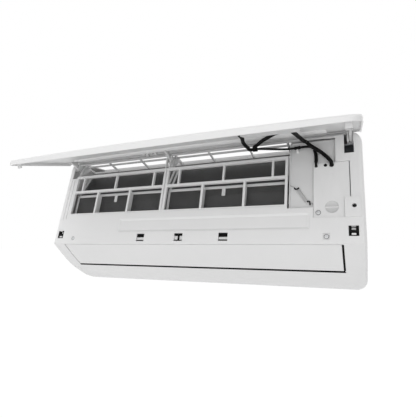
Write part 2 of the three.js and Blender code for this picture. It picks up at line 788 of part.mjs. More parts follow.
// ---- fan ----
function crossFlowFan() {
  const inner = fanRadius - fanBladeDepth;
  const section = [[inner, -1], [fanRadius - 5, 2.4], [fanRadius - 1.2, 7.6], [inner + 1, 1.6]];
  const blades = Array.from({ length: fanBlades }, (_, i) => {
    const angle = (i / fanBlades) * Math.PI * 2;
    const turned = section.map(([a, b]) => {
      const point = new THREE.Vector2(a, b).rotateAround(new THREE.Vector2(), angle);
      return [point.x + fanCentreY, point.y + fanCentreZ];
    });
    return alongX(outline(turned), fanLeft + 2, fanRight - 2);
  });
  const disc = (x, hollow) => {
    const shape = new THREE.Shape();
    shape.absarc(fanCentreY, fanCentreZ, fanRadius, 0, Math.PI * 2);
    if (hollow) {
      const hole = new THREE.Path();
      hole.absarc(fanCentreY, fanCentreZ, inner - 2, 0, Math.PI * 2, true);
      shape.holes.push(hole);
    }
    return alongX(shape, x, x + 3, 7);
  };
  const bay = (fanRight - fanLeft - 3) / fanBays;
  const rings = Array.from({ length: fanBays - 1 }, (_, i) => disc(fanLeft + (i + 1) * bay, true));
  return joinAll([...blades, ...rings, disc(fanLeft, false), disc(fanRight - 3, false)]);
}

const axleRadius = 4;
const fanAxle = () => rod(
  [fanLeft - fit - 12, fanCentreY, fanCentreZ], [fanLeft - fit, fanCentreY, fanCentreZ], axleRadius, 14,
);
const motorShaft = () => rod(
  [fanRight + fit, fanCentreY, fanCentreZ], [motorLeft + 14, fanCentreY, fanCentreZ], axleRadius, 14,
);
const motorLeft = fanRight + 14;
const motorWall = fanRight + 5;
const motorLength = 62;
const motorRadius = 36;
const wallPlateLeft = fanLeft - 9; // left end wall with the bearing
const plateThickness = 2.5;

function fanBearing() {
  const shape = new THREE.Shape();
  shape.absarc(fanCentreY, fanCentreZ, 13, 0, Math.PI * 2);
  const ring = alongX(shape, wallPlateLeft - 3, wallPlateLeft + plateThickness + 3, 7);
  const groove = new THREE.Shape();
  groove.absarc(fanCentreY, fanCentreZ, 20, 0, Math.PI * 2);
  const grooveHole = new THREE.Path();
  grooveHole.absarc(fanCentreY, fanCentreZ, 11, 0, Math.PI * 2, true);
  groove.holes.push(grooveHole);
  const x0 = wallPlateLeft - fit;
  const x1 = wallPlateLeft + plateThickness + fit;
  const bore = rod([wallPlateLeft - 9, fanCentreY, fanCentreZ], [wallPlateLeft + 9, fanCentreY, fanCentreZ],
    axleRadius + fit, 14);
  return ring.subtract(alongX(groove, x0, x1, 8)).subtract(bore);
}

// An end wall between the coil and the air guide.
function endWall(x, holeRadius) {
  const along = shifted(guideLine.slice(0, 7), -fit).map((point) => point.toArray());
  along[0][1] -= 10;
  const section = outline([
    ...along,
    [-100, -62], [-110.2, -56], [-110.2, -30], [-106, 20], [-86, 36], [-49, 36], [-26, 44],
  ]);
  const hole = rod(
    [x - 5, fanCentreY, fanCentreZ], [x + plateThickness + 5, fanCentreY, fanCentreZ], holeRadius, 16,
  );
  return alongX(section, x, x + plateThickness).subtract(hole);
}

function fanMotor() {
  const turned = (x0, x1, radius) =>
    rod([x0, fanCentreY, fanCentreZ], [x1, fanCentreY, fanCentreZ], radius, 20);
  const neck = turned(motorWall + plateThickness + fit, motorLeft + 1, 16);
  const can = turned(motorLeft, motorLeft + motorLength, motorRadius);
  const band = turned(motorLeft + 20, motorLeft + 42, motorRadius + 2);
  return joinAll([neck, can, band]).subtract(turned(motorWall, motorLeft + 15, axleRadius + fit));
}

// ---- coil: three slabs, each a fin pack with return bends at its left end ----
const coilBehind = filterDepth + filterFrame / 2 + 4;
const coilLowStart = 10.5;
const coilBend = 102;
const filterBend = onSeat(0, bendRise, -filterDepth);
const filterTop = new THREE.Vector2(-81, 129);
const filterRun = filterTop.clone().sub(new THREE.Vector2(filterBend.y, filterBend.z));
const filterLength = filterRun.length();
const filterPitch = Math.atan2(filterRun.y, filterRun.x);
const bendRadius = 10; // return bends
const coilTube = 3.5;

const coilSlabs = {
  lower: { start: [coilStart().y, coilStart().z], pitch: Math.PI / 2 - seatLean, length: coilBend - coilLowStart, bends: 3 },
  upper: { start: upperCoilStart().toArray(), pitch: filterPitch, length: 68, bends: 2 },
  rear: { start: [-42.5, 106], pitch: Math.atan2(-0.937, 0.35), length: 54, bends: 2 },
};

function coilStart() {
  return onSeat(0, coilLowStart, -coilBehind);
}

function upperCoilStart() {
  const along = filterRun.clone().normalize();
  const inward = new THREE.Vector2(along.y, -along.x);
  return new THREE.Vector2(filterBend.y, filterBend.z)
    .addScaledVector(inward, coilBehind - filterDepth)
    .addScaledVector(along, 6);
}

function slabOutline({ start, pitch, length }, margin) {
  const along = new THREE.Vector2(Math.cos(pitch), Math.sin(pitch));
  const inward = new THREE.Vector2(along.y, -along.x);
  const corner = (a, b) =>
    new THREE.Vector2(...start).addScaledVector(along, a).addScaledVector(inward, b);
  return new THREE.Shape([
    corner(-margin, coilThickness + margin),
    corner(length + margin, coilThickness + margin),
    corner(length + margin, -margin),
    corner(-margin, -margin),
  ]);
}

function bendEnds({ start, pitch, length, bends }) {
  const along = new THREE.Vector2(Math.cos(pitch), Math.sin(pitch));
  const inward = new THREE.Vector2(along.y, -along.x);
  return Array.from({ length: bends }, (_, i) => {
    const middle = new THREE.Vector2(...start)
      .addScaledVector(inward, coilThickness / 2)
      .addScaledVector(along, length * ((i + 0.5) / bends));
    return [-bendRadius, bendRadius].map((offset) => middle.clone().addScaledVector(along, offset));
  });
}

function coilSlab(slab) {
  const pieces = [alongX(slabOutline(slab, 0), coilLeft, coilRight)];
  bendEnds(slab).forEach(([a, b]) => {
    const middle = a.clone().add(b).multiplyScalar(0.5);
    const curve = new THREE.CatmullRomCurve3([
      new THREE.Vector3(coilLeft + 2, a.x, a.y),
      new THREE.Vector3(coilLeft - 6, a.x, a.y),
      new THREE.Vector3(coilLeft - 14, middle.x, middle.y),
      new THREE.Vector3(coilLeft - 6, b.x, b.y),
      new THREE.Vector3(coilLeft + 2, b.x, b.y),
    ]);
    pieces.push(toSolid(tubeAlong(curve, coilTube, 8, 6)));
  });
  return joinAll(pieces);
}

// A sheet of metal across the ends of the three slabs.
function coilPlate(x0, drilled) {
  const sheets = Object.values(coilSlabs).map((slab) => alongX(slabOutline(slab, 1.5), x0, x0 + 1.2));
  const bridges = [
    [[-126, 38], [-110, 38], [-104, 68], [-120, 68]],
    [[-88, 98], [-52, 90], [-50, 103], [-80, 115]],
  ];
  const sheet = joinAll([...sheets, ...bridges.map((points) => alongX(outline(points), x0, x0 + 1.2))]);
  if (!drilled) return sheet;
  const holes = Object.values(coilSlabs)
    .flatMap(bendEnds)
    .flat()
    .map((point) => rod([x0 - 2, point.x, point.y], [x0 + 3, point.x, point.y], coilTube + slip, 8));
  return sheet.subtract(joinAll(holes));
}

// ---- filters ----
const tabShift = { '-1': -8, 1: 1 }; // finger tab from the middle of its filter
function filterSpan(side) {
  const post = centreGap / 2 + 1;
  return side < 0
    ? [inletLeft + 2, centrePost - post]
    : [centrePost + post, inletRight - 2];
}

function filterFrameSolid(side) {
  const [x0, x1] = filterSpan(side);
  const half = filterFrame / 2;
  const frame = onBend([
    { x0, x1, from: filterLow, to: bendRise + 0.4, upper: false },
    { x0, x1, from: -0.4, to: filterLength, upper: true },
  ], [
    { x0: x0 + filterBar, x1: x1 - filterBar, from: filterLow + filterBar, to: bendRise + 1, upper: false },
    { x0: x0 + filterBar, x1: x1 - filterBar, from: -1, to: filterLength - filterBar, upper: true },
  ], half);
  const bar = fromSeat(box(
    x0 + 1, x1 - 1, bendRise - filterBar / 2, bendRise + filterBar / 2,
    -filterDepth + netThickness / 2 + fit, -filterDepth + half + 1.2,
  ));
  const tabCentre = (x0 + x1) / 2 + tabShift[side];
  const tab = fromSeat(box(
    tabCentre - 4, tabCentre + 4, bendRise - 20, bendRise + 2, -filterDepth + half, -filterDepth + half + 2,
  ));
  return joinAll([frame, bar, tab]);
}

// Flat blocks with gaps in them, laid on the filter's two planes.
function onBend(blocks, gaps, half) {
  const flat = (upper) => {
    const laid = (list, reach) =>
      joinAll(list.filter((block) => block.upper === upper).map(({ x0, x1, from, to }) =>
        box(x0, x1, from, to, -reach, reach)));
    return toGeometry(laid(blocks, half).subtract(laid(gaps, half + 3)));
  };
  const lower = flat(false);
  lower.translate(0, 0, -filterDepth);
  const upper = flat(true);
  upper.rotateX(filterPitch);
  upper.translate(0, filterBend.y, filterBend.z);
  return fromSeat(toSolid(lower)).add(toSolid(upper));
}

// An open net that fills the frame and bends with it.
function filterNet(side) {
  const [x0, x1] = filterSpan(side);
  const edge = filterBar + fit;
  const inner = [x0 + edge, x1 - edge];
  const low = filterLow + edge;
  const high = filterLength - edge;
  const gaps = (from, to, rows, upper) => {
    const wide = (inner[1] - inner[0] - netStrand) / netColumns;
    const tall = (to - from - netStrand) / rows;
    return Array.from({ length: rows * netColumns }, (_, i) => {
      const x = inner[0] + netStrand + (i % netColumns) * wide;
      const at = from + netStrand + Math.floor(i / netColumns) * tall;
      return { x0: x, x1: x + wide - netStrand, from: at, to: at + tall - netStrand, upper };
    });
  };
  return onBend([
    { x0: inner[0], x1: inner[1], from: low, to: bendRise + 0.2, upper: false },
    { x0: inner[0], x1: inner[1], from: -0.2, to: high, upper: true },
  ], [...gaps(low, bendRise, 3, false), ...gaps(0, high, 4, true)], netThickness / 2);
}

// ---- electrical bay ----
const bayLeft = inletRight + 3;
const coverSink = 6;
const boxHigh = pivotRise - 8;
const sensorHigh = 93;
const sensorLow = 68;

function electricalBox() {
  const x0 = bayLeft + 3;
  const x1 = right - 8;
  const outer = fromSeat(box(x0, x1, serviceLow + 2, boxHigh, -52, -coverSink - 4));
  const inner = fromSeat(box(x0 + 2.2, x1 - 2.2, serviceLow + 4.2, boxHigh - 2.2, -49.8, 0));
  return outer.subtract(inner).intersect(casingSolid(shellWall + 1));
}

function controlBoard() {
  const x0 = bayLeft + 8;
  const x1 = right - 42;
  return box(x0, x1, serviceLow + 10, boxHigh - 8, -49.5, -47.9);
}

function terminalBlock() {
  const x0 = serviceStep + 12;
  const block = box(x0, x0 + 42, serviceLow + 12, serviceLow + 34, -47.6, -30);
  const screws = [0, 1, 2, 3].map((i) => box(x0 + 3 + i * 10, x0 + 9 + i * 10, serviceLow + 18, serviceLow + 30, -34, -20));
  return block.subtract(joinAll(screws));
}

function wiringCover() {
  // the plain cover left of and above the terminal cover
  const shape = outline([
    [bayLeft, serviceLeftLow + fit],
    [serviceStep - fit, serviceLeftLow + fit],
    [serviceStep - fit, serviceShoulder + fit],
    [serviceTopRight - fit, serviceShoulder + fit],
    [serviceTopRight - fit, serviceHigh - fit],
    [bayLeft, serviceHigh - fit],
  ]);
  const sheet = plate(shape, -coverSink - 2, -coverSink);
  const fold = box(bayLeft, bayLeft + 2, serviceLeftLow + fit, serviceHigh - fit, -coverSink - 1, -coverSink + 3);
  const holder = sensorHolder();
  return joinAll([sheet, fold, holder]);
}

// The pale strip that holds the room sensor's tube to the cover.
function sensorHolder() {
  const from = [serviceStep - 28, sensorHigh];
  const to = [serviceStep - 11, sensorLow];
  return rod([...from, -coverSink], [...to, -coverSink], 2.2, 8);
}

const gripX = right - 56;
const gripRise = 57.5;
const gripRadius = 12;
const coverSlot = 1.4; // open slot along the terminal cover's right edge

function terminalCover() {
  const shape = outline([
    [serviceStep + fit, serviceLow + fit],
    [bracketLeft - fit, serviceLow + fit],
    [bracketLeft - fit, bracketHigh + fit],
    [serviceRight - coverSlot, bracketHigh + fit],
    [serviceRight - coverSlot, serviceShoulder - fit],
    [serviceStep + fit, serviceShoulder - fit],
  ]);
  const sheet = plate(shape, -4.5, -2.4);
  const cup = rod([gripX, gripRise, -9], [gripX, gripRise, -3], gripRadius + 2, 24);
  const hollow = rod([gripX, gripRise, -7], [gripX, gripRise, 2], gripRadius, 24);
  const bar = box(gripX - gripRadius - 1, gripX + gripRadius + 1, gripRise - 1, gripRise + 1, -8, -2.8);
  const screwHole = rod([coverScrewX, coverScrewRise, -9], [coverScrewX, coverScrewRise, 1], 2.2, 12);
  const leadHoles = [
    rod([...runHole, -9], [...runHole, 1], thinLeadRadius + 1, 12),
    rod([...sensorHole, -9], [...sensorHole, 1], leadRadius + 1, 12),
  ];
  return joinAll([sheet, cup]).subtract(hollow).add(bar).subtract(joinAll([screwHole, ...leadHoles]));
}
const coverScrewX = right - 80;
const coverScrewRise = 46.8;

function screw(x, s, headTop, length, headRadius) {
  const head = rod([x, s, headTop - screwHead], [x, s, headTop], headRadius, 16);
  const shank = rod([x, s, headTop - length], [x, s, headTop - screwHead + 0.2], 1.9, 10);
  const slotA = box(x - 2.6, x + 2.6, s - 0.5, s + 0.5, headTop - 1.2, headTop + 1);
  const slotB = box(x - 0.5, x + 0.5, s - 2.6, s + 2.6, headTop - 1.2, headTop + 1);
  return head.add(shank).subtract(slotA).subtract(slotB);
}

function buttonBracket() {
  const sheet = plate(roundedRect(bracketLeft, right - 7, bracketLow, bracketHigh, 1.5), -1, 2);
  return sheet.add(rod([buttonX, buttonRise, -9], [buttonX, buttonRise, 1], buttonRadius + 2, 20));
}

function manualButton() {
  return rod([buttonX, buttonRise, -11], [buttonX, buttonRise, -2.5], buttonRadius - slip, 16);
}

function latchCatch(x) {
  // an H-shaped catch that the panel's hook snaps into
  const width = latchWidth - 2 * fit;
  const height = latchHeight - 2 * fit;
  const frame = box(x - width / 2, x + width / 2, latchRise - height / 2, latchRise + height / 2, -9, -0.6);
  const slots = [-1, 1].map((side) =>
    box(
      x - width / 2 + 2.2, x + width / 2 - 2.2,
      latchRise + side * 4.6 - 3, latchRise + side * 4.6 + 3, -7.5, 1,
    ),
  );
  return frame.subtract(joinAll(slots));
}

// ---- panel, in the frame that the seat has when the panel is shut ----
function panelSolid() {
  const ends = [0, 8, 22, 42, 65, 90].map((degrees) => {
    const angle = THREE.MathUtils.degToRad(degrees);
    return panelHalf - panelCorner + panelCorner * Math.sin(angle);
  });
  const half = [0, 90, 180, 270, ...ends];
  const places = [...half.slice(1).map((x) => -x).reverse(), ...half];
  const edgeAt = (x) => {
    const over = Math.max(Math.abs(x) - (panelHalf - panelCorner), 0);
    const corner = panelCorner - Math.sqrt(Math.max(panelCorner ** 2 - over ** 2, 0));
    const share = 1 - (x / panelHalf) ** 2;
    return {
      low: panelLow - panelBow * share + corner,
      high: panelHigh - corner * 0.3,
      face: panelDepth + panelCrown * share,
    };
  };
  const step = panelDepth - panelSkin - 0.8;
  const outer = loft(places.map((x) => {
    const { low, high, face } = edgeAt(x);
    const edge = Math.abs(x) > panelHalf - 0.01 ? 1.2 : 0;
    return {
      x,
      ring: [
        [low + edge, panelGap], [rimEnd, panelGap], [rimEnd + 9, step], [high - edge, step],
        [high - edge, face - 1.4 - edge], [high - 2, face - edge],
        [low + 5, face - edge], [low + 1.2 + edge, face - 2.5 - edge],
      ],
    };
  }));
  const insideHalf = panelHalf - panelSkin;
  const inner = loft(places.map((place) => {
    const x = place * (insideHalf / panelHalf);
    const { low, face } = edgeAt(x);
    return {
      x,
      ring: [
        [low + panelSkin, panelGap - 5], [panelHigh + 10, panelGap - 5],
        [panelHigh + 10, face - panelSkin], [low + panelSkin + 3, face - panelSkin],
      ],
    };
  }));
  const lip = loft(places.map((place) => {
    const x = place * (insideHalf / panelHalf);
    const { high, face } = edgeAt(x);
    return {
      x,
      ring: [
        [high - panelSkin, rearLip], [high, rearLip],
        [high, face - panelSkin / 2 - 0.8], [high - panelSkin, face - panelSkin / 2 - 0.8],
      ],
    };
  }));
  return joinAll([outer.subtract(inner), lip, ...latchPlaces.map(panelHook)]);
}

function hingeArm(x) {
  const face = skinAt(x) - fit;
  const shape = outline([
    [168, face], [190.5, face], [191, 3], [199.5, -5], [pivotRise + 4.4, -pivotSink],
    [pivotRise + 2.6, -pivotSink - 3.8], [pivotRise - 1.6, -pivotSink - 4.4],
    [pivotRise - 4.6, -pivotSink - 2], [184, 0],
  ]);
  const arm = alongX(shape, x - armThickness / 2, x + armThickness / 2);
  const bore = rod([x - 9, pivotRise, -pivotSink], [x + 9, pivotRise, -pivotSink], pinRadius + fit, 12);
  const foot = box(x - 8, x + 6, 166, 190, face - 2, face);
  return arm.add(foot).subtract(bore);
}

// Inner face of the panel's skin.
function skinAt(x) {
  return panelDepth - panelSkin + panelCrown * (1 - (x / panelHalf) ** 2);
}

// Cheeks and a pin that carry one hinge arm behind the front face.
function hingeBracket(x, high) {
  const low = pivotRise - 7;
  const cheeks = [-1, 1].map((side) => {
    const middle = x + side * (cheekGap + cheekWall / 2);
    return box(middle - cheekWall / 2, middle + cheekWall / 2, low, high, -16, -1);
  });
  const reach = cheekGap + cheekWall / 2;
  const web = box(x - reach, x + reach, low, high, -16, -14);
  const pin = rod([x - reach, pivotRise, -pivotSink], [x + reach, pivotRise, -pivotSink], pinRadius, 12);
  return joinAll([...cheeks, web, pin]);
}

function panelHook(x) {
  const root = skinAt(x) + 1;
  const low = latchRise + 2;
  const shape = outline([
    [low, root], [low + 4.6, root], [low + 4.4, -3], [low + 1.6, -5], [low + 1.2, -2.2], [low + 1.8, -0.5],
  ]);
  return alongX(shape, x - 5, x + 5);
}

function displayModule() {
  const cover = roundedRect(modulePlace.left, modulePlace.left + 92, modulePlace.high - 38, modulePlace.high, 3);
  return plate(cover, 3, skinAt(modulePlace.left + 92) - fit);
}

// ---- leads between the raised panel and the electrical bay ----
const modulePlace = { left: 176, high: 50 };
const coverFace = -coverSink;
const sleeve = { x: 150, s: 186.5, n: 1.6, length: 10, height: 7, depth: 7.6 };
const runHole = [serviceStep + 5.5, 142.5];
const sensorHole = [serviceStep + 33.8, 142.5];

function leadSleeve() {
  return box(
    sleeve.x, sleeve.x + sleeve.length, sleeve.s, sleeve.s + sleeve.height, sleeve.n, sleeve.n + sleeve.depth,
  );
}

function displayLead() {
  const edge = modulePlace.left - fit;
  return tube([
    onPanel(edge, 30, 8),
    onPanel(edge - 2, 30, 8),
    onPanel(edge - 6.5, 33, 8.2),
    onPanel(168, 42, 7.4),
    onPanel(165.3, 60, 5.1),
    onPanel(154.5, 100, 2),
    onPanel(149.1, 130, -1.3),
    onPanel(144.2, 160, -3.1),
    onSeat(141.8, 191, 13),
    onSeat(142.6, 190, 6.6),
    onSeat(sleeve.x - fit - 2, 190, 5.4),
    onSeat(sleeve.x - fit, 190, 5.4),
  ], leadRadius, 20);
}

function displayReturnLead() {
  return tube([
    onPanel(238, modulePlace.high + fit, 8),
    onPanel(238, modulePlace.high + 2.4, 8),
    onPanel(234.4, 61, 8.2),
    onPanel(220, 80, 8.7),
    onPanel(200.4, 110, 6.5),
    onPanel(176, 148, 3),
    onPanel(163, 170, -0.4),
    onSeat(156.4, 190.6, 14.5),
    onSeat(155, 190, sleeve.n + sleeve.depth + 2.4),
    onSeat(155, 190, sleeve.n + sleeve.depth + fit),
  ], leadRadius, 18);
}

function displayRunLead() {
  const over = coverFace + thinLeadRadius + fit;
  return tube([
    onSeat(sleeve.x + sleeve.length + fit, 190, 5.2),
    onSeat(sleeve.x + sleeve.length + 2.4, 190, 5.2),
    onSeat(170, 189.6, 4.4),
    onSeat(191, 186.8, 4),
    onSeat(219.7, 183.4, 3.4),
    onSeat(229, 184.2, 2.2),
    onSeat(238, 186.2, -1.6),
    onSeat(246, 187.8, over),
    onSeat(265, 187.4, over),
    onSeat(273, 182, over),
    onSeat(276.4, 170, over),
    onSeat(runHole[0], 158, -2),
    onSeat(runHole[0], 149, 0.5),
    onSeat(runHole[0], 144.6, 0.2),
    onSeat(runHole[0], runHole[1], -3.5),
    onSeat(runHole[0], runHole[1] - 0.2, -8),
  ], thinLeadRadius, 32);
}

function sensorLead() {
  return tube([
    onPanel(252.6, modulePlace.high + fit, 7),
    onPanel(252.6, modulePlace.high + 2.4, 7),
    onPanel(253, 72, 5.2),
    onPanel(254.8, 110, 1.7),
    onPanel(259.4, 148, -4.4),
    onSeat(260.6, 190.4, 10.4),
    onSeat(269, 183.7, 5),
    onSeat(281.6, 174.8, 1.8),
    onSeat(294.4, 162.9, 0.6),
    onSeat(302.5, 152, 2.2),
    onSeat(sensorHole[0] - 0.4, 147, 2.2),
    onSeat(sensorHole[0], sensorHole[1] + 0.9, -0.6),
    onSeat(sensorHole[0], sensorHole[1], -8),
  ], leadRadius, 24);
}

// A black hook at one end of the sensor's holder.
function sensorHook(x, s) {
  return tubeAlong(new THREE.CatmullRomCurve3([
    new THREE.Vector3(x - 5, s + 1, -4),
    new THREE.Vector3(x - 3, s - 1.6, -3.8),
    new THREE.Vector3(x + 1, s - 1.6, -3.8),
    new THREE.Vector3(x + 4, s + 1.6, -4),
  ]), 1.3, 10, 6);
}

function flapMotor() {
  const centre = flapPivot.clone().addScaledVector(flapInward, 8);
  const x0 = flapHalf + flapGap + 6 + fit;
  const can = rod([x0, centre.x, centre.y], [x0 + 17, centre.x, centre.y], 12.5, 20);
  return can.subtract(rod([x0 - 1, flapPivot.x, flapPivot.y], [x0 + 8, flapPivot.x, flapPivot.y], 3, 12));
}

// The motor that pushes the right-hand vane link, held under the drain pan.
function vaneMotor() {
  const x0 = ductHalf + 1;
  return rod([x0, -124, -65.8], [x0 + 17, -124, -65.8], 12, 20);
}

function capacitor() {
  const x = serviceStep - 20;
  return rod([x, 118, -38.6], [x, 160, -38.6], 9, 18);
}

// Copper pipes from the coil, down the right-hand end and along the rear channel.
function pipe(radius, depth, height, low, end) {
  return tube([
    [coilRight + 2 * fit + 1.4, depth - 12, height],
    [coilRight + 8, depth - 12, height],
    [coilRight + 20, depth - 10, height],
    [coilRight + 45, depth, height + 4],
    [right - 43, depth, height + 2],
    [right - 27, depth, height - 16],
    [right - 25, depth, height - 50],
    [right - 25, depth, low + 50],
    [right - 27, depth, low + 16],
    [right - 43, depth, low],
    [right - 101, depth, low],
    [end, depth, low],
  ].map((point) => new THREE.Vector3(...point)), radius, 32, 6);
}

const shell = material('shell', 0.42);
const innerPlastic = material('inner', 0.5);
const plain = material('shade', 0.5);
const steel = material('steel', 0.3, 1);
const lead = material('black', 0.7);
const coilMetal = material('aluminium', 0.4, 0.8);

add('mounting_plate', mountingPlate(), material('zinc', 0.45, 0.9));
add('rear_chassis', rearChassis(), innerPlastic);
add('front_frame', frontFrame(), shell);
add('inlet_lattice', inletLattice(), shell, seat);
add('top_grille', topGrille(), plain);
add('air_guide', airGuide(), innerPlastic);
add('drain_pan', drainPan(), innerPlastic);
vanePlaces.forEach((x, i) => add(`vane_${i + 1}`, vane(x), plain));
add('vane_link_left', vaneLink(vanePlaces.slice(0, 3)), plain);
add('vane_link_right', vaneLink(vanePlaces.slice(3)), plain);
add('air_flap', flap(), shell);
add('flap_motor', flapMotor(), steel);
add('vane_motor', vaneMotor(), steel);
add('cross_flow_fan', crossFlowFan(), material('fan', 0.6));
add('fan_axle', fanAxle(), steel);
add('motor_shaft', motorShaft(), steel);
add('fan_bearing', fanBearing(), material('rubber', 0.8));
add('end_wall_left', endWall(wallPlateLeft, 11 + fit), innerPlastic);
add('end_wall_right', endWall(motorWall, 9), innerPlastic);
add('fan_motor', fanMotor(), material('steel', 0.4, 0.9));
Object.entries(coilSlabs).forEach(([place, slab]) => add(`coil_${place}`, coilSlab(slab), coilMetal));
add('coil_plate_left', coilPlate(coilLeft - fit - 1.2, true), coilMetal);
add('coil_plate_right', coilPlate(coilRight + fit, false), coilMetal);
add('gas_pipe', pipe(4.8, -22, 74, bottom + 26, left + 171), material('copper', 0.35, 1));
add('liquid_pipe', pipe(3.2, -40, 88, bottom + 38, left + 171), material('copper', 0.35, 1));
['left', 'right'].forEach((side, i) => {
  add(`filter_frame_${side}`, filterFrameSolid(i * 2 - 1), plain);
  add(`filter_net_${side}`, filterNet(i * 2 - 1), material('mesh', 0.8));
  add(`catch_${side}`, latchCatch(latchPlaces[i]), innerPlastic, seat);
  add(`frame_screw_${side}`, screw(screwPlaces[i], screwRise, screwHead + fit - screwSeat, 14, 3.6), steel, seat);
});
add('wiring_cover', wiringCover(), innerPlastic, seat);
add('terminal_cover', terminalCover(), shell, seat);
add('electrical_box', electricalBox(), material('zinc', 0.4, 0.9));
add('control_board', controlBoard(), material('board', 0.6), seat);
add('terminal_block', terminalBlock(), material('black', 0.5), seat);
add('capacitor', capacitor(), material('black', 0.5), seat);
add('cover_screw', screw(coverScrewX, coverScrewRise, -0.2, 16, 3.8), steel, seat);
add('manual_button', manualButton(), material('black', 0.5), seat);
add('sensor_hook_upper', sensorHook(serviceStep - 32, sensorHigh + 7), lead, seat);
add('sensor_hook_lower', sensorHook(serviceStep - 6.5, sensorLow - 5), lead, seat);
['left', 'centre', 'right'].forEach((side, i) => {
  add(`hinge_arm_${side}`, hingeArm(armPlaces[i]), innerPlastic, panel);
});
add('front_panel', panelSolid(), shell, panel);
add('display_module', displayModule(), innerPlastic, panel);
add('lead_sleeve', leadSleeve(), lead, seat);
add('display_lead', displayLead(), lead);
add('display_return_lead', displayReturnLead(), lead);
add('display_run_lead', displayRunLead(), lead);
add('sensor_lead', sensorLead(), lead);

export default unit;
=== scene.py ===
import json
import math

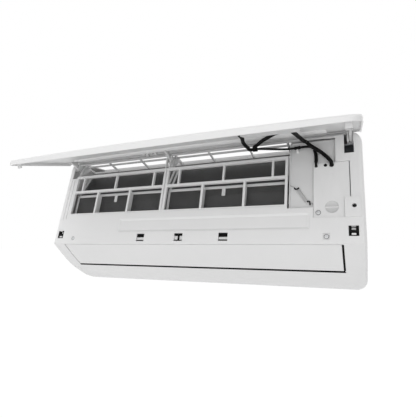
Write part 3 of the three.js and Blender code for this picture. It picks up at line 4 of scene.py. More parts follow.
import bpy
from mathutils import Vector
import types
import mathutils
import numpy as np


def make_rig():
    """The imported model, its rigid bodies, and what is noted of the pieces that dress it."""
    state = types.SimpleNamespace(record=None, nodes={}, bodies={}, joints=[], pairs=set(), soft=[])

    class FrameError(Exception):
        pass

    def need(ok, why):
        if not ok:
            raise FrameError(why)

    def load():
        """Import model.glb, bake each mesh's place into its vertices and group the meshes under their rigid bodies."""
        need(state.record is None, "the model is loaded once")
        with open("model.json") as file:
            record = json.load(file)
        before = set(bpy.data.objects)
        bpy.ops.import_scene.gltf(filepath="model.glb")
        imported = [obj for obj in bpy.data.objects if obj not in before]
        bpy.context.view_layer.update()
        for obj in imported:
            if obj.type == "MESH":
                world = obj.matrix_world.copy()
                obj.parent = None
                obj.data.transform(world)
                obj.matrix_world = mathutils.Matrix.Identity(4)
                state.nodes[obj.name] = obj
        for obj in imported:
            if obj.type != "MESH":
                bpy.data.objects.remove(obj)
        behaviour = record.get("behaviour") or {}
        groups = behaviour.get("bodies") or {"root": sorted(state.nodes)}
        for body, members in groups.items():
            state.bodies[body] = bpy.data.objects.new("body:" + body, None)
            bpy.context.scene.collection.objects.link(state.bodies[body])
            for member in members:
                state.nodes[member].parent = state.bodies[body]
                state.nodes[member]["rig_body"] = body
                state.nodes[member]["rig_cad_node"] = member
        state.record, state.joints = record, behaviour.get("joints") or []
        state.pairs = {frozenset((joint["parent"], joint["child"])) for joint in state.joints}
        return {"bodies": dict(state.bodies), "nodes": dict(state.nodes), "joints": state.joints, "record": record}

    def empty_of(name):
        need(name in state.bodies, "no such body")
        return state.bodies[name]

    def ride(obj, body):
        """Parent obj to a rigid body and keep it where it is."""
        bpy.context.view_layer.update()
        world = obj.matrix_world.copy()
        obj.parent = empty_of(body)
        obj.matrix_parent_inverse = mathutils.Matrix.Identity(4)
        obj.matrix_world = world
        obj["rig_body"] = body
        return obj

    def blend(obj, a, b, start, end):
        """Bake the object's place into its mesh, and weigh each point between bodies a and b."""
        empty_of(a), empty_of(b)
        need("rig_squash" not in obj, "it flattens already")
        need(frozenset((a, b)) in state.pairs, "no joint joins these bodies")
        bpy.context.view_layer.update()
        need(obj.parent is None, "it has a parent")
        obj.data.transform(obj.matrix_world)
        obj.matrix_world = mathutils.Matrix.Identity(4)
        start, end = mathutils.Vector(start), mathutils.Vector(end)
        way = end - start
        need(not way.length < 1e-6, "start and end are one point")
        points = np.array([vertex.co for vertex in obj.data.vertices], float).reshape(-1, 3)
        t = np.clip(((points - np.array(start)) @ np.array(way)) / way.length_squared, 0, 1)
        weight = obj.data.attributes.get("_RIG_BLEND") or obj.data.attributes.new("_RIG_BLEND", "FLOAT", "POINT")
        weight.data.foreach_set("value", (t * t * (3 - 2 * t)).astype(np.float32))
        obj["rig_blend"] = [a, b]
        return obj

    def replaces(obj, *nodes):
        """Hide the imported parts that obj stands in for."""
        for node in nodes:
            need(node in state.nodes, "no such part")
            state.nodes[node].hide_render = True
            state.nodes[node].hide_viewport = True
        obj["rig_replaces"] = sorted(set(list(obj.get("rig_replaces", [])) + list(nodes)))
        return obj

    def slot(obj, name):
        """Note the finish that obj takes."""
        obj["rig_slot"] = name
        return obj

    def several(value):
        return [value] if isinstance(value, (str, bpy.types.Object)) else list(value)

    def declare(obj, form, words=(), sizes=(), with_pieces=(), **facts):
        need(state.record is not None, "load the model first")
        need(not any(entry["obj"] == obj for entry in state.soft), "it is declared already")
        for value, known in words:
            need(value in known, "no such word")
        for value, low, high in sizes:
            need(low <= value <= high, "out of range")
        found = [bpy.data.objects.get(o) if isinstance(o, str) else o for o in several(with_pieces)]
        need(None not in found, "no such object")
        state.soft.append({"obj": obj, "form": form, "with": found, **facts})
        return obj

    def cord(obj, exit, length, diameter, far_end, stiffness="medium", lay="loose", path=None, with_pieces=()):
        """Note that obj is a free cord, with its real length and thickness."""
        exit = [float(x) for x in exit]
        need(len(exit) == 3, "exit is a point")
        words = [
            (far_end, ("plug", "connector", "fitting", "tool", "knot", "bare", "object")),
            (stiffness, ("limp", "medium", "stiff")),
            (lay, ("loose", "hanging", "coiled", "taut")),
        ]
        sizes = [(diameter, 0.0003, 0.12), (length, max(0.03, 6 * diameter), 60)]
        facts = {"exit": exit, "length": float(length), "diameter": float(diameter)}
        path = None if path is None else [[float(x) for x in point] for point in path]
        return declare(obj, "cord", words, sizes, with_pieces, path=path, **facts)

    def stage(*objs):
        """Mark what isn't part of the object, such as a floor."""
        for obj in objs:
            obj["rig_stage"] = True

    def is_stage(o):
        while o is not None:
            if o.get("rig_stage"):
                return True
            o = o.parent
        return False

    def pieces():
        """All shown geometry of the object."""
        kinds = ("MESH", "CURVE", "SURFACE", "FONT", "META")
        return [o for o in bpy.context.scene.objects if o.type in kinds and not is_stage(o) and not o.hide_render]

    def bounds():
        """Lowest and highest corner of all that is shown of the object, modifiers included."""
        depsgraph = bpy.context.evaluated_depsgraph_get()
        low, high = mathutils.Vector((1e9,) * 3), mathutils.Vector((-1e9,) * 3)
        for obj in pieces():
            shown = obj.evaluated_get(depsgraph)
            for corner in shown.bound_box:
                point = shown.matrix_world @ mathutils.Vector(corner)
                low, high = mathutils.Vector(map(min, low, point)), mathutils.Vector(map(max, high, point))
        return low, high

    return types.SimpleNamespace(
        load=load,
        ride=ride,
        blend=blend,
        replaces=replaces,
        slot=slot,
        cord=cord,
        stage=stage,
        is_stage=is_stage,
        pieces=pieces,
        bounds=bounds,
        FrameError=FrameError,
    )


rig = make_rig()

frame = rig.load()
bpy.context.view_layer.update()
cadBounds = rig.bounds()
nodes = frame["nodes"]
mm = 0.001

# camera

cameraSet = {
    "place": (0.34613, -0.82578, -0.05868),   # right of the middle and a little below it
    "turnLeft": 23.43,                        # degrees
    "lookUp": 5.63,
    "lens": 29.66,                            # millimetres on a 36 mm sensor
}


def makeCamera():
    lens = bpy.data.cameras.new("unitCamera")
    lens.lens = cameraSet["lens"]
    lens.sensor_fit = "VERTICAL"
    lens.sensor_height = lens.sensor_width
    camera = bpy.data.objects.new("unitCamera", lens)
    camera.location = cameraSet["place"]
    camera.rotation_euler = (math.radians(90 + cameraSet["lookUp"]), 0, math.radians(cameraSet["turnLeft"]))
    bpy.context.scene.collection.objects.link(camera)
    bpy.context.scene.camera = camera


makeCamera()
print("camera made")

# the leaning front face and the raised panel

faceSet = {
    "lean": 14.26,              # degrees that the front face leans back
    "chin": (-180.2, -60.6),    # y, z of the front edge of the chin
    "chinRise": 13,             # the face's zero line lies this far above the chin
    "pivotRise": 196,           # hinge line of the panel, on the face
    "pivotSink": 8,
    "panelOpen": 64.2,          # degrees
    "panelSkin": 10.1,          # inner face of the panel's skin at its ends
    "panelCrown": 3.5,          # and how much further out it is in the middle
    "panelHalf": 360,
}
faceLean = math.radians(faceSet["lean"])
faceUp = Vector((0, math.sin(faceLean), math.cos(faceLean)))
faceOut = Vector((0, -math.cos(faceLean), math.sin(faceLean)))
faceZero = Vector((0, *faceSet["chin"])) + faceUp * faceSet["chinRise"]


# A point on the front face in mm, s up the face and n out of it, given in metres.
def onSeat(x, s, n):
    return (Vector((x, 0, 0)) + faceZero + faceUp * s + faceOut * n) * mm


def onPanel(x, s, n):
    turn = math.radians(faceSet["panelOpen"])
    up = s - faceSet["pivotRise"]
    out = n + faceSet["pivotSink"]
    raisedUp = up * math.cos(turn) + out * math.sin(turn)
    raisedOut = out * math.cos(turn) - up * math.sin(turn)
    return onSeat(x, faceSet["pivotRise"] + raisedUp, raisedOut - faceSet["pivotSink"])


# small tools


# An sRGB hex colour as linear RGBA.
def linear(colour):
    parts = [int(colour[i:i + 2], 16) / 255 for i in (1, 3, 5)]
    return [p / 12.92 if p <= 0.04045 else ((p + 0.055) / 1.055) ** 2.4 for p in parts] + [1.0]


def addNode(tree, kind, inputs=None, **settings):
    node = tree.nodes.new(kind)
    for name, value in settings.items():
        setattr(node, name, value)
    for key, value in (inputs or {}).items():
        if isinstance(value, bpy.types.NodeSocket):
            tree.links.new(value, node.inputs[key])
        else:
            node.inputs[key].default_value = value
    return node


def startMaterial(name, roughness, metallic=0.0, ior=1.5):
    material = bpy.data.materials.new(name)
    material.use_nodes = True
    tree = material.node_tree
    surface = tree.nodes["Principled BSDF"]
    surface.inputs["Roughness"].default_value = roughness
    surface.inputs["Metallic"].default_value = metallic
    surface.inputs["IOR"].default_value = ior
    place = addNode(tree, "ShaderNodeTexCoord").outputs["Object"]
    return material, tree, surface, place


def makeObject(name, verts, faces, smooth=False):
    mesh = bpy.data.meshes.new(name)
    mesh.from_pydata([tuple(v) for v in verts], [], faces)
    mesh.update()
    if smooth:
        mesh.shade_smooth()
    piece = bpy.data.objects.new(name, mesh)
    bpy.context.scene.collection.objects.link(piece)
    return piece


# Adds a closed box with corners low and high, each corner set by place.
def boxPart(verts, faces, low, high, place=lambda x, y, z: Vector((x, y, z))):
    base = len(verts)
    for z in (low[2], high[2]):
        for y in (low[1], high[1]):
            for x in (low[0], high[0]):
                verts.append(place(x, y, z))
    for quad in ((0, 2, 3, 1), (4, 5, 7, 6), (0, 1, 5, 4), (2, 6, 7, 3), (0, 4, 6, 2), (1, 3, 7, 5)):
        faces.append([base + i for i in quad])


# A box with soft edges, its corners given on the front face or wherever place puts them.
def softBox(name, low, high, edge, place):
    verts, faces = [], []
    boxPart(verts, faces, low, high, place)
    piece = makeObject(name, verts, faces, smooth=True)
    soften(piece, edge)
    return piece


def soften(piece, edge):
    rounding = piece.modifiers.new("softEdges", "BEVEL")
    rounding.width = edge * mm
    rounding.segments = 3
    rounding.limit_method = "ANGLE"
    rounding.harden_normals = True


# A turned solid standing on the front face. The profile runs from the axis in front to the axis behind.
def turnedPart(name, x, s, profile, sides=48, dent=None):
    verts, faces, rings = [], [], []
    for radius, n in profile:
        count = sides if radius > 0 else 1
        rings.append((len(verts), count))
        for k in range(count):
            angle = 2 * math.pi * k / sides
            dx, ds = radius * math.cos(angle), radius * math.sin(angle)
            verts.append(onSeat(x + dx, s + ds, n - (dent(dx, ds) if dent else 0)))
    for (start, count), (after, countAfter) in zip(rings, rings[1:]):
        for k in range(sides):
            a, b = start + k % count, start + (k + 1) % count
            c, d = after + k % countAfter, after + (k + 1) % countAfter
            faces.append([v for i, v in enumerate((a, c, d, b)) if v not in (a, c, d, b)[:i]])
    return makeObject(name, verts, faces, smooth=True)


def finishPart(piece, finish, slot, body):
    piece.data.materials.append(finishes[finish])
    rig.slot(piece, slot)
    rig.ride(piece, body)
    return piece


# count points along a smooth curve through the given ones, evenly spread.
def curvePoints(points, count):
    pts = [Vector(p) for p in points]
    ends = [pts[0] * 2 - pts[1]] + pts + [pts[-1] * 2 - pts[-2]]
    fine = []
    for i in range(1, len(ends) - 2):
        p0, p1, p2, p3 = ends[i - 1:i + 3]
        knots = [0.0]
        for a, b in ((p0, p1), (p1, p2), (p2, p3)):
            knots.append(knots[-1] + max((b - a).length, 1e-9) ** 0.5)
        for step in range(24):
            t = knots[1] + (knots[2] - knots[1]) * step / 24
            a1 = p0.lerp(p1, (t - knots[0]) / (knots[1] - knots[0]))
            a2 = p1.lerp(p2, (t - knots[1]) / (knots[2] - knots[1]))
            a3 = p2.lerp(p3, (t - knots[2]) / (knots[3] - knots[2]))
            b1 = a1.lerp(a2, (t - knots[0]) / (knots[2] - knots[0]))
            b2 = a2.lerp(a3, (t - knots[1]) / (knots[3] - knots[1]))
            fine.append(b1.lerp(b2, (t - knots[1]) / (knots[2] - knots[1])))
    fine.append(pts[-1])
    run = [0.0]
    for a, b in zip(fine, fine[1:]):
        run.append(run[-1] + (b - a).length)
    spread, at = [], 0
    for i in range(count):
        want = run[-1] * i / (count - 1)
        while at < len(run) - 2 and run[at + 1] < want:
            at += 1
        share = (want - run[at]) / max(run[at + 1] - run[at], 1e-12)
        spread.append(fine[at].lerp(fine[at + 1], min(max(share, 0), 1)))
    return spread, run[-1]


# A closed round tube along path. radius is one number, or one for each point.
def tubeAlong(name, path, radius, sides=16):
    radii = radius if isinstance(radius, list) else [radius] * len(path)
    verts, faces = [], []
    ahead = (path[1] - path[0]).normalized()
    side = ahead.orthogonal().normalized()
    for i, point in enumerate(path):
        turn = (path[min(i + 1, len(path) - 1)] - path[max(i - 1, 0)]).normalized()
        side = (side - turn * side.dot(turn)).normalized()
        other = turn.cross(side)
        for k in range(sides):
            angle = 2 * math.pi * k / sides
            verts.append(point + (side * math.cos(angle) + other * math.sin(angle)) * radii[i])
    for i in range(len(path) - 1):
        for k in range(sides):
            a, b = i * sides + k, i * sides + (k + 1) % sides
            faces.append([a, b, b + sides, a + sides])
    faces.append([sides - 1 - k for k in range(sides)])
    faces.append([len(verts) - sides + k for k in range(sides)])
    return makeObject(name, verts, faces, smooth=True)


# materials

plasticSet = {
    # white ABS, injection moulded in a fine spark-eroded tool: even, with a soft sheen
    "whiteMouldedAbs": {"colour": "#E9E9E9", "roughness": 0.36, "grain": 0.7, "lift": 0.012, "ior": 1.53},
    # polystyrene, moulded in a plain tool: a touch greyer and duller than the shell
    "greyMouldedPolystyrene": {
        "colour": "#DDDDDD", "roughness": 0.46, "grain": 0.9, "lift": 0.014, "ior": 1.58,
    },
    # ABS, moulded: a mid grey that sets small fittings off from the covers, painted shade darker than their own pale
    # tone
    "shadedMouldedAbs": {"colour": "#B4B4B4", "roughness": 0.5, "grain": 0.9, "lift": 0.014, "ior": 1.53},
    # a dull grey ring round each screw: painted shadow of a counterbore round the head
    "shadowRingGrey": {"colour": "#6E6E70", "roughness": 0.6, "grain": 1.0, "lift": 0.02, "ior": 1.53},
    # polypropylene, moulded thin: waxy light grey with faint flow marks
    "greyMouldedPolypropylene": {
        "colour": "#D3D3D3", "roughness": 0.5, "grain": 1.1, "lift": 0.02, "ior": 1.49,
    },
    # glass-filled ABS, moulded: near black with a dry surface
    "blackFilledAbs": {"colour": "#26272A", "roughness": 0.58, "grain": 1.3, "lift": 0.03, "ior": 1.53},
    # the two below keep little sheen, because fine dust and texture break it up
    # polybutylene, moulded: deep black, half matt
    "blackMouldedPolyester": {
        "colour": "#09090A", "roughness": 0.6, "grain": 0.8, "lift": 0.02, "ior": 1.55, "sheen": 0.2,
    },
    # EPDM rubber, pressed: matt black that catches no highlight; the outlet strips and window plates use it as painted
    # shade
    "blackRubberAndPaintedShade": {
        "colour": "#0C0C0C", "roughness": 0.85, "grain": 1.5, "lift": 0.04, "ior": 1.52, "sheen": 0.15,
    },
}


# Plastic from a mould: even colour with slow drift, fine grain and softened edges.
def mouldedPlastic(name):
    look = plasticSet[name]
    material, tree, surface, place = startMaterial(name, look["roughness"], ior=look["ior"])
    surface.inputs["Specular IOR Level"].default_value = look.get("sheen", 0.5)
    drift = addNode(tree, "ShaderNodeTexNoise", {"Vector": place, "Scale": 14, "Detail": 3})
    tone = addNode(tree, "ShaderNodeMapRange", {
        "Value": drift.outputs["Fac"], "From Min": 0.3, "From Max": 0.7, "To Min": 0.965, "To Max": 1.0,
    })
    colour = addNode(tree, "ShaderNodeMix", {
        "Factor": tone.outputs["Result"], 6: [c * 0.7 for c in linear(look["colour"])[:3]] + [1.0],
        7: linear(look["colour"]),
    }, data_type="RGBA")
    tree.links.new(colour.outputs[2], surface.inputs["Base Color"])
    flow = addNode(tree, "ShaderNodeTexNoise", {"Vector": place, "Scale": 60, "Detail": 4})
    dull = addNode(tree, "ShaderNodeMapRange", {
        "Value": flow.outputs["Fac"], "To Min": look["roughness"] - 0.05, "To Max": look["roughness"] + 0.06,
    })
    tree.links.new(dull.outputs["Result"], surface.inputs["Roughness"])
    grain = addNode(tree, "ShaderNodeTexNoise", {
        "Vector": place, "Scale": 1 / (look["grain"] * mm), "Detail": 2, "Roughness": 0.6,
    })
    softEdge = addNode(tree, "ShaderNodeBevel", {"Radius": 0.5 * mm}, samples=4)
    bump = addNode(tree, "ShaderNodeBump", {
        "Height": grain.outputs["Fac"], "Strength": 0.25, "Distance": look["lift"] * mm,
        "Normal": softEdge.outputs["Normal"],
    })
    tree.links.new(bump.outputs["Normal"], surface.inputs["Normal"])
    return material


metalSet = {
    # galvanised steel, rolled and dipped: pale grey with crystal patches
    "galvanisedSheetSteel": {"colour": "#B9BCC0", "roughness": 0.42, "patch": 9.0, "contrast": 0.10},
    # steel can, zinc plated and pressed: smooth grey with faint draw marks
    "platedPressedSteel": {"colour": "#B2B4B7", "roughness": 0.34, "patch": 3.0, "contrast": 0.05},
    # carbon steel, turned and polished: bright, with fine rings
    "brightTurnedSteel": {"colour": "#C4C5C7", "roughness": 0.24, "patch": 0.8, "contrast": 0.08},
    # steel screw, headed and zinc plated: bright grey, darker in its cross
    "platedHeadedSteel": {"colour": "#D9DADB", "roughness": 0.45, "patch": 1.2, "contrast": 0.08},
    # copper pipe, drawn: warm and slightly clouded by handling
    "drawnCopper": {"colour": "#C98A66", "roughness": 0.32, "patch": 14.0, "contrast": 0.22},
}


# Bare or plated metal whose tone varies in patches of a real size.
def workedMetal(name):
    look = metalSet[name]
    material, tree, surface, place = startMaterial(name, look["roughness"], metallic=1.0)
    patches = addNode(tree, "ShaderNodeTexVoronoi", {"Vector": place, "Scale": 1 / (look["patch"] * mm)})
    clouds = addNode(tree, "ShaderNodeTexNoise", {"Vector": place, "Scale": 40, "Detail": 5})
    blend = addNode(tree, "ShaderNodeMath", {
        0: patches.outputs["Color"], 1: clouds.outputs["Fac"],
    }, operation="MULTIPLY")
    colour = addNode(tree, "ShaderNodeMix", {
        "Factor": blend.outputs["Value"], 6: linear(look["colour"]),
        7: [c * (1 - look["contrast"] * 3) for c in linear(look["colour"])[:3]] + [1.0],
    }, data_type="RGBA")
    tree.links.new(colour.outputs[2], surface.inputs["Base Color"])
    dull = addNode(tree, "ShaderNodeMapRange", {
        "Value": blend.outputs["Value"],
        "To Min": look["roughness"] - 0.06, "To Max": look["roughness"] + 0.12,
    })
    tree.links.new(dull.outputs["Result"], surface.inputs["Roughness"])
    softEdge = addNode(tree, "ShaderNodeBevel", {"Radius": 0.3 * mm}, samples=4)
    bump = addNode(tree, "ShaderNodeBump", {
        "Height": clouds.outputs["Fac"], "Strength": 0.15, "Distance": 0.05 * mm,
        "Normal": softEdge.outputs["Normal"],
    })
    tree.links.new(bump.outputs["Normal"], surface.inputs["Normal"])
    return material


# Aluminium fin stock, rolled and stamped: bright edges with a dull face between them.
def finAluminium():
    material, tree, surface, place = startMaterial("stampedFinAluminium", 0.38, metallic=1.0)
    spread = addNode(tree, "ShaderNodeMapping", {"Vector": place, "Scale": (480, 6, 6)})
    streak = addNode(tree, "ShaderNodeTexNoise", {
        "Vector": spread.outputs["Vector"], "Scale": 1, "Detail": 2,
    })
    colour = addNode(tree, "ShaderNodeMix", {
        "Factor": streak.outputs["Fac"], 6: linear("#A9ACAF"), 7: linear("#D5D7D9"),
    }, data_type="RGBA")
    tree.links.new(colour.outputs[2], surface.inputs["Base Color"])
    bump = addNode(tree, "ShaderNodeBump", {
        "Height": streak.outputs["Fac"], "Strength": 0.3, "Distance": 0.1 * mm,
    })
    tree.links.new(bump.outputs["Normal"], surface.inputs["Normal"])
    return material


# Dark polyester monofilament, woven: each thread has a faint sheen and its own tone.
def wovenPolyester():
    material, tree, surface, place = startMaterial("darkWovenPolyester", 0.55, ior=1.57)
    tone = addNode(tree, "ShaderNodeTexNoise", {"Vector": place, "Scale": 35, "Detail": 4})
    colour = addNode(tree, "ShaderNodeMix", {
        "Factor": tone.outputs["Fac"], 6: linear("#3B3B3B"), 7: linear("#585858"),
    }, data_type="RGBA")
    tree.links.new(colour.outputs[2], surface.inputs["Base Color"])
    thread = addNode(tree, "ShaderNodeTexNoise", {"Vector": place, "Scale": 1 / (0.6 * mm), "Detail": 1})
    bump = addNode(tree, "ShaderNodeBump", {
        "Height": thread.outputs["Fac"], "Strength": 0.4, "Distance": 0.05 * mm,
    })
    tree.links.new(bump.outputs["Normal"], surface.inputs["Normal"])
    return material


# Green glass-epoxy laminate with a solder mask: glossy, with tracks just showing through.
def glassLaminate():
    material, tree, surface, place = startMaterial("maskedGlassLaminate", 0.3, ior=1.55)
    tracks = addNode(tree, "ShaderNodeTexBrick", {
        "Vector": place, "Scale": 90, "Color1": linear("#2E6B45"), "Color2": linear("#275F3D"),
        "Mortar": linear("#3E8157"), "Mortar Size": 0.03,
    })
    tree.links.new(tracks.outputs["Color"], surface.inputs["Base Color"])
    bump = addNode(tree, "ShaderNodeBump", {
        "Height": tracks.outputs["Fac"], "Strength": 0.3, "Distance": 0.05 * mm,
    })
    tree.links.new(bump.outputs["Normal"], surface.inputs["Normal"])
    return material


# Black vinyl sleeve, extruded over the wires: soft highlights along fine lengthwise ribs.
def ribbedVinyl():
    material, tree, surface, place = startMaterial("blackExtrudedVinyl", 0.7, ior=1.53)
    surface.inputs["Specular IOR Level"].default_value = 0.2   # dust and fine ribs swallow most of the sheen
    wear = addNode(tree, "ShaderNodeTexNoise", {"Vector": place, "Scale": 120, "Detail": 5})
    colour = addNode(tree, "ShaderNodeMix", {
        "Factor": wear.outputs["Fac"], 6: linear("#030303"), 7: linear("#0B0B0B"),
    }, data_type="RGBA")
    tree.links.new(colour.outputs[2], surface.inputs["Base Color"])
    ridges = addNode(tree, "ShaderNodeTexNoise", {"Vector": place, "Scale": 1 / (1.2 * mm), "Detail": 2})
    bump = addNode(tree, "ShaderNodeBump", {
        "Height": ridges.outputs["Fac"], "Strength": 0.5, "Distance": 0.12 * mm,
    })
    tree.links.new(bump.outputs["Normal"], surface.inputs["Normal"])
    return material


finishes = {name: mouldedPlastic(name) for name in plasticSet}
finishes.update({name: workedMetal(name) for name in metalSet})
finishes["stampedFinAluminium"] = finAluminium()
finishes["darkWovenPolyester"] = wovenPolyester()
finishes["maskedGlassLaminate"] = glassLaminate()
finishes["blackExtrudedVinyl"] = ribbedVinyl()
print("materials made")

slotFinish = {
    "white_shell": "whiteMouldedAbs",
    "inner_plastic": "greyMouldedPolystyrene",
    "grey_plastic": "greyMouldedPolypropylene",
    "filter_net": "darkWovenPolyester",
    "zinc_sheet": "galvanisedSheetSteel",
    "motor_steel": "platedPressedSteel",
    "shaft_steel": "brightTurnedSteel",
    "coil_aluminium": "stampedFinAluminium",
    "pipe_copper": "drawnCopper",
    "fan_plastic": "blackFilledAbs",
    "bearing_rubber": "blackRubberAndPaintedShade",
    "board_laminate": "maskedGlassLaminate",
    "black_plastic": "blackMouldedPolyester",
    "lead_jacket": "blackExtrudedVinyl",
}


# degrees between two faces from which their edge stays sharp
creaseSet = {"most": 32, "front_frame": 17}


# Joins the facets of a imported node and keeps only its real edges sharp.
def smoothing(crease):
    group = bpy.data.node_groups.new("smoothFacets" + str(crease), "GeometryNodeTree")
    group.interface.new_socket("Geometry", in_out="INPUT", socket_type="NodeSocketGeometry")
    group.interface.new_socket("Geometry", in_out="OUTPUT", socket_type="NodeSocketGeometry")
    start = addNode(group, "NodeGroupInput")
    bare = addNode(group, "GeometryNodeRemoveAttribute", {
        "Geometry": start.outputs[0], "Name": "custom_normal",
    })
    joined = addNode(group, "GeometryNodeMergeByDistance", {
        "Geometry": bare.outputs[0], "Distance": 0.01 * mm,
    })
    rounded = addNode(group, "GeometryNodeSetShadeSmooth", {
        "Geometry": joined.outputs[0], "Shade Smooth": True,
    })
    angle = addNode(group, "GeometryNodeInputMeshEdgeAngle")
    crisp = addNode(group, "FunctionNodeCompare", {
        "A": angle.outputs["Unsigned Angle"], "B": math.radians(crease),
    }, operation="GREATER_THAN")
    done = addNode(group, "GeometryNodeSetShadeSmooth", {
        "Geometry": rounded.outputs[0], "Selection": crisp.outputs[0], "Shade Smooth": False,
    }, domain="EDGE")
    addNode(group, "NodeGroupOutput", {0: done.outputs[0]})
    return group


def dressNodes():
    groups = {crease: smoothing(crease) for crease in sorted(creaseSet.values())}
    slotOf = {part["node"]: part["material_slot"] for part in frame["record"]["subparts"]}
    for name, node in nodes.items():
        node.data.materials.clear()
        node.data.materials.append(finishes[slotFinish[slotOf[name]]])
        crease = creaseSet.get(name, creaseSet["most"])
        node.modifiers.new("smoothFacets", "NODES").node_group = groups[crease]


dressNodes()
print("packed nodes dressed")

# leads

leadSet = {
    "thick": 3.6,        # radius of a sleeved bundle
    "thin": 2.3,
    "fit": 0.3,
    "sleeveLeft": 150,   # where the sleeve on the strip starts
    "moduleLeft": 176,
    "moduleHigh": 50,
    "runHole": (277.5, 142.5),
    "sensorHole": (305.8, 142.5),
    "coverFace": -6,
}


def displayRoute():
    edge = leadSet["moduleLeft"] - leadSet["fit"]
    sleeve = leadSet["sleeveLeft"]
    return [
        onPanel(edge, 30, 8), onPanel(edge - 2, 30, 8), onPanel(edge - 6.5, 33, 8.2),
        onPanel(168, 42, 7.4), onPanel(165.3, 60, 5.1), onPanel(154.5, 100, 2),
        onPanel(149.1, 130, -1.3), onPanel(144.2, 160, -3.1),
        onSeat(141.8, 191, 13), onSeat(142.6, 190, 6.6),
        onSeat(sleeve - leadSet["fit"] - 2, 190, 5.4), onSeat(sleeve - leadSet["fit"], 190, 5.4),
    ]


def returnRoute():
    high = leadSet["moduleHigh"]
    return [
        onPanel(238, high + 0.3, 8), onPanel(238, high + 2.4, 8), onPanel(234.4, 61, 8.2),
        onPanel(220, 80, 8.7), onPanel(200.4, 110, 6.5), onPanel(176, 148, 3), onPanel(163, 170, -0.4),
        onSeat(156.4, 190.6, 14.5), onSeat(155, 190, 11.6), onSeat(155, 190, 9.5),
    ]


def runRoute():
    over = leadSet["coverFace"] + leadSet["thin"] + leadSet["fit"]
    x, s = leadSet["runHole"]
    sleeveEnd = leadSet["sleeveLeft"] + 10
    return [
        onSeat(sleeveEnd + 0.3, 190, 5.2), onSeat(sleeveEnd + 2.4, 190, 5.2), onSeat(170, 189.6, 4.4),
        onSeat(191, 186.8, 4), onSeat(219.7, 183.4, 3.4), onSeat(229, 184.2, 2.2), onSeat(238, 186.2, -1.6),
        onSeat(246, 187.8, over), onSeat(265, 187.4, over), onSeat(273, 182, over), onSeat(276.4, 170, over),
        onSeat(x, 158, -2), onSeat(x, 149, 0.5), onSeat(x, 144.6, 0.2),
        onSeat(x, s, -3.5), onSeat(x, s - 0.2, -8),
    ]


def sensorRoute():
    high = leadSet["moduleHigh"]
    x, s = leadSet["sensorHole"]
    return [
        onPanel(252.6, high + 0.3, 7), onPanel(252.6, high + 2.4, 7), onPanel(253, 72, 5.2),
        onPanel(254.8, 110, 1.7), onPanel(259.4, 148, -4.4),
        onSeat(260.6, 190.4, 10.4), onSeat(269, 183.7, 5),
        onSeat(281.6, 174.8, 1.8), onSeat(294.4, 162.9, 0.6), onSeat(302.5, 152, 2.2),
        onSeat(x - 0.4, s + 4.5, 2.2), onSeat(x, s + 0.9, -0.6), onSeat(x, s, -8),
    ]


def makeLead(name, route, radius, node):
    path, length = curvePoints(route, 72)
    lead = tubeAlong(name, path, radius * mm)
    lead.data.materials.append(finishes["blackExtrudedVinyl"])
    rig.replaces(lead, node)
    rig.slot(lead, "lead_jacket")
    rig.cord(lead, exit=path[0], length=length, diameter=2 * radius * mm, far_end="object", stiffness="limp",
            lay="hanging", path=path)
    print(name, "is", round(length / mm), "mm long")
    return lead


displayLead = makeLead("displayLead", displayRoute(), leadSet["thick"], "display_lead")
returnLead = makeLead("displayReturnLead", returnRoute(), leadSet["thick"], "display_return_lead")
runLead = makeLead("displayRunLead", runRoute(), leadSet["thin"], "display_run_lead")
sensorLead = makeLead("sensorLead", sensorRoute(), leadSet["thick"], "sensor_lead")
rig.ride(runLead, "casing")
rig.blend(displayLead, "panel", "casing", start=onPanel(149, 110, 0), end=onSeat(142, 191, 8))
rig.blend(returnLead, "panel", "casing", start=onPanel(200, 110, 0), end=onSeat(155, 191, 10))
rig.blend(sensorLead, "panel", "casing", start=onPanel(256, 110, 0), end=onSeat(281, 175, 2))
print("leads made")

# filter nets

netSet = {
    "depth": 17,             # behind the front face
    "low": 62.3,             # s of the net's lower edge
    "bend": 117,             # s where the filter bends towards the back
    "top": (-81, 129),       # y, z of the filter's top edge
    "edge": 6.3,             # frame and clearance at the net's edge
    "pitch": 2.2,            # real threads lie about 0.9 mm apart, and this is as fine as shows
    "thread": 0.95,
    "spans": {"left": (-328, -59.5), "right": (-54.5, 221.5)},
}


# The net's line in (y, z) as points from its lower edge, in metres, with the unit normal of each flat.
def filterProfile():
    bend = onSeat(0, netSet["bend"], -netSet["depth"])
    top = Vector((0, *netSet["top"])) * mm
    low = onSeat(0, netSet["low"], -netSet["depth"])
    reach = (top - bend).normalized()
    return low, bend, top - reach * netSet["edge"] * mm


def makeNet(side):
    low, bend, top = filterProfile()
    x0, x1 = [x * mm for x in netSet["spans"][side]]
    x0, x1 = x0 + netSet["edge"] * mm, x1 - netSet["edge"] * mm
    half = netSet["thread"] / 2 * mm
    flat = half * 0.7
    verts, faces = [], []
    across = Vector((1, 0, 0))
    for start, end in ((low, bend), (bend, top)):
        run = (end - start).normalized()
        out = run.cross(across).normalized()
        length = (end - start).length
        rows = round(length / (netSet["pitch"] * mm))
        columns = round((x1 - x0) / (netSet["pitch"] * mm))

        def laid(a, b, c, start=start, run=run, out=out):
            return across * a + start + run * b + out * c

        for i in range(columns + 1):
            x = x0 + half + (x1 - x0 - 2 * half) * i / columns
            boxPart(verts, faces, (x - half, 0, -flat), (x + half, length, 0), laid)
        for i in range(rows + 1):
            at = half + (length - 2 * half) * i / rows
            boxPart(verts, faces, (x0, at - half, 0), (x1, at + half, flat), laid)
    net = makeObject("filterNet" + side.capitalize(), verts, faces)
    net.data.materials.append(finishes["darkWovenPolyester"])
    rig.replaces(net, "filter_net_" + side)
    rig.slot(net, "filter_net")
    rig.ride(net, "filter_" + side)


for side in ("left", "right"):
    makeNet(side)
print("filter nets made")

# screws

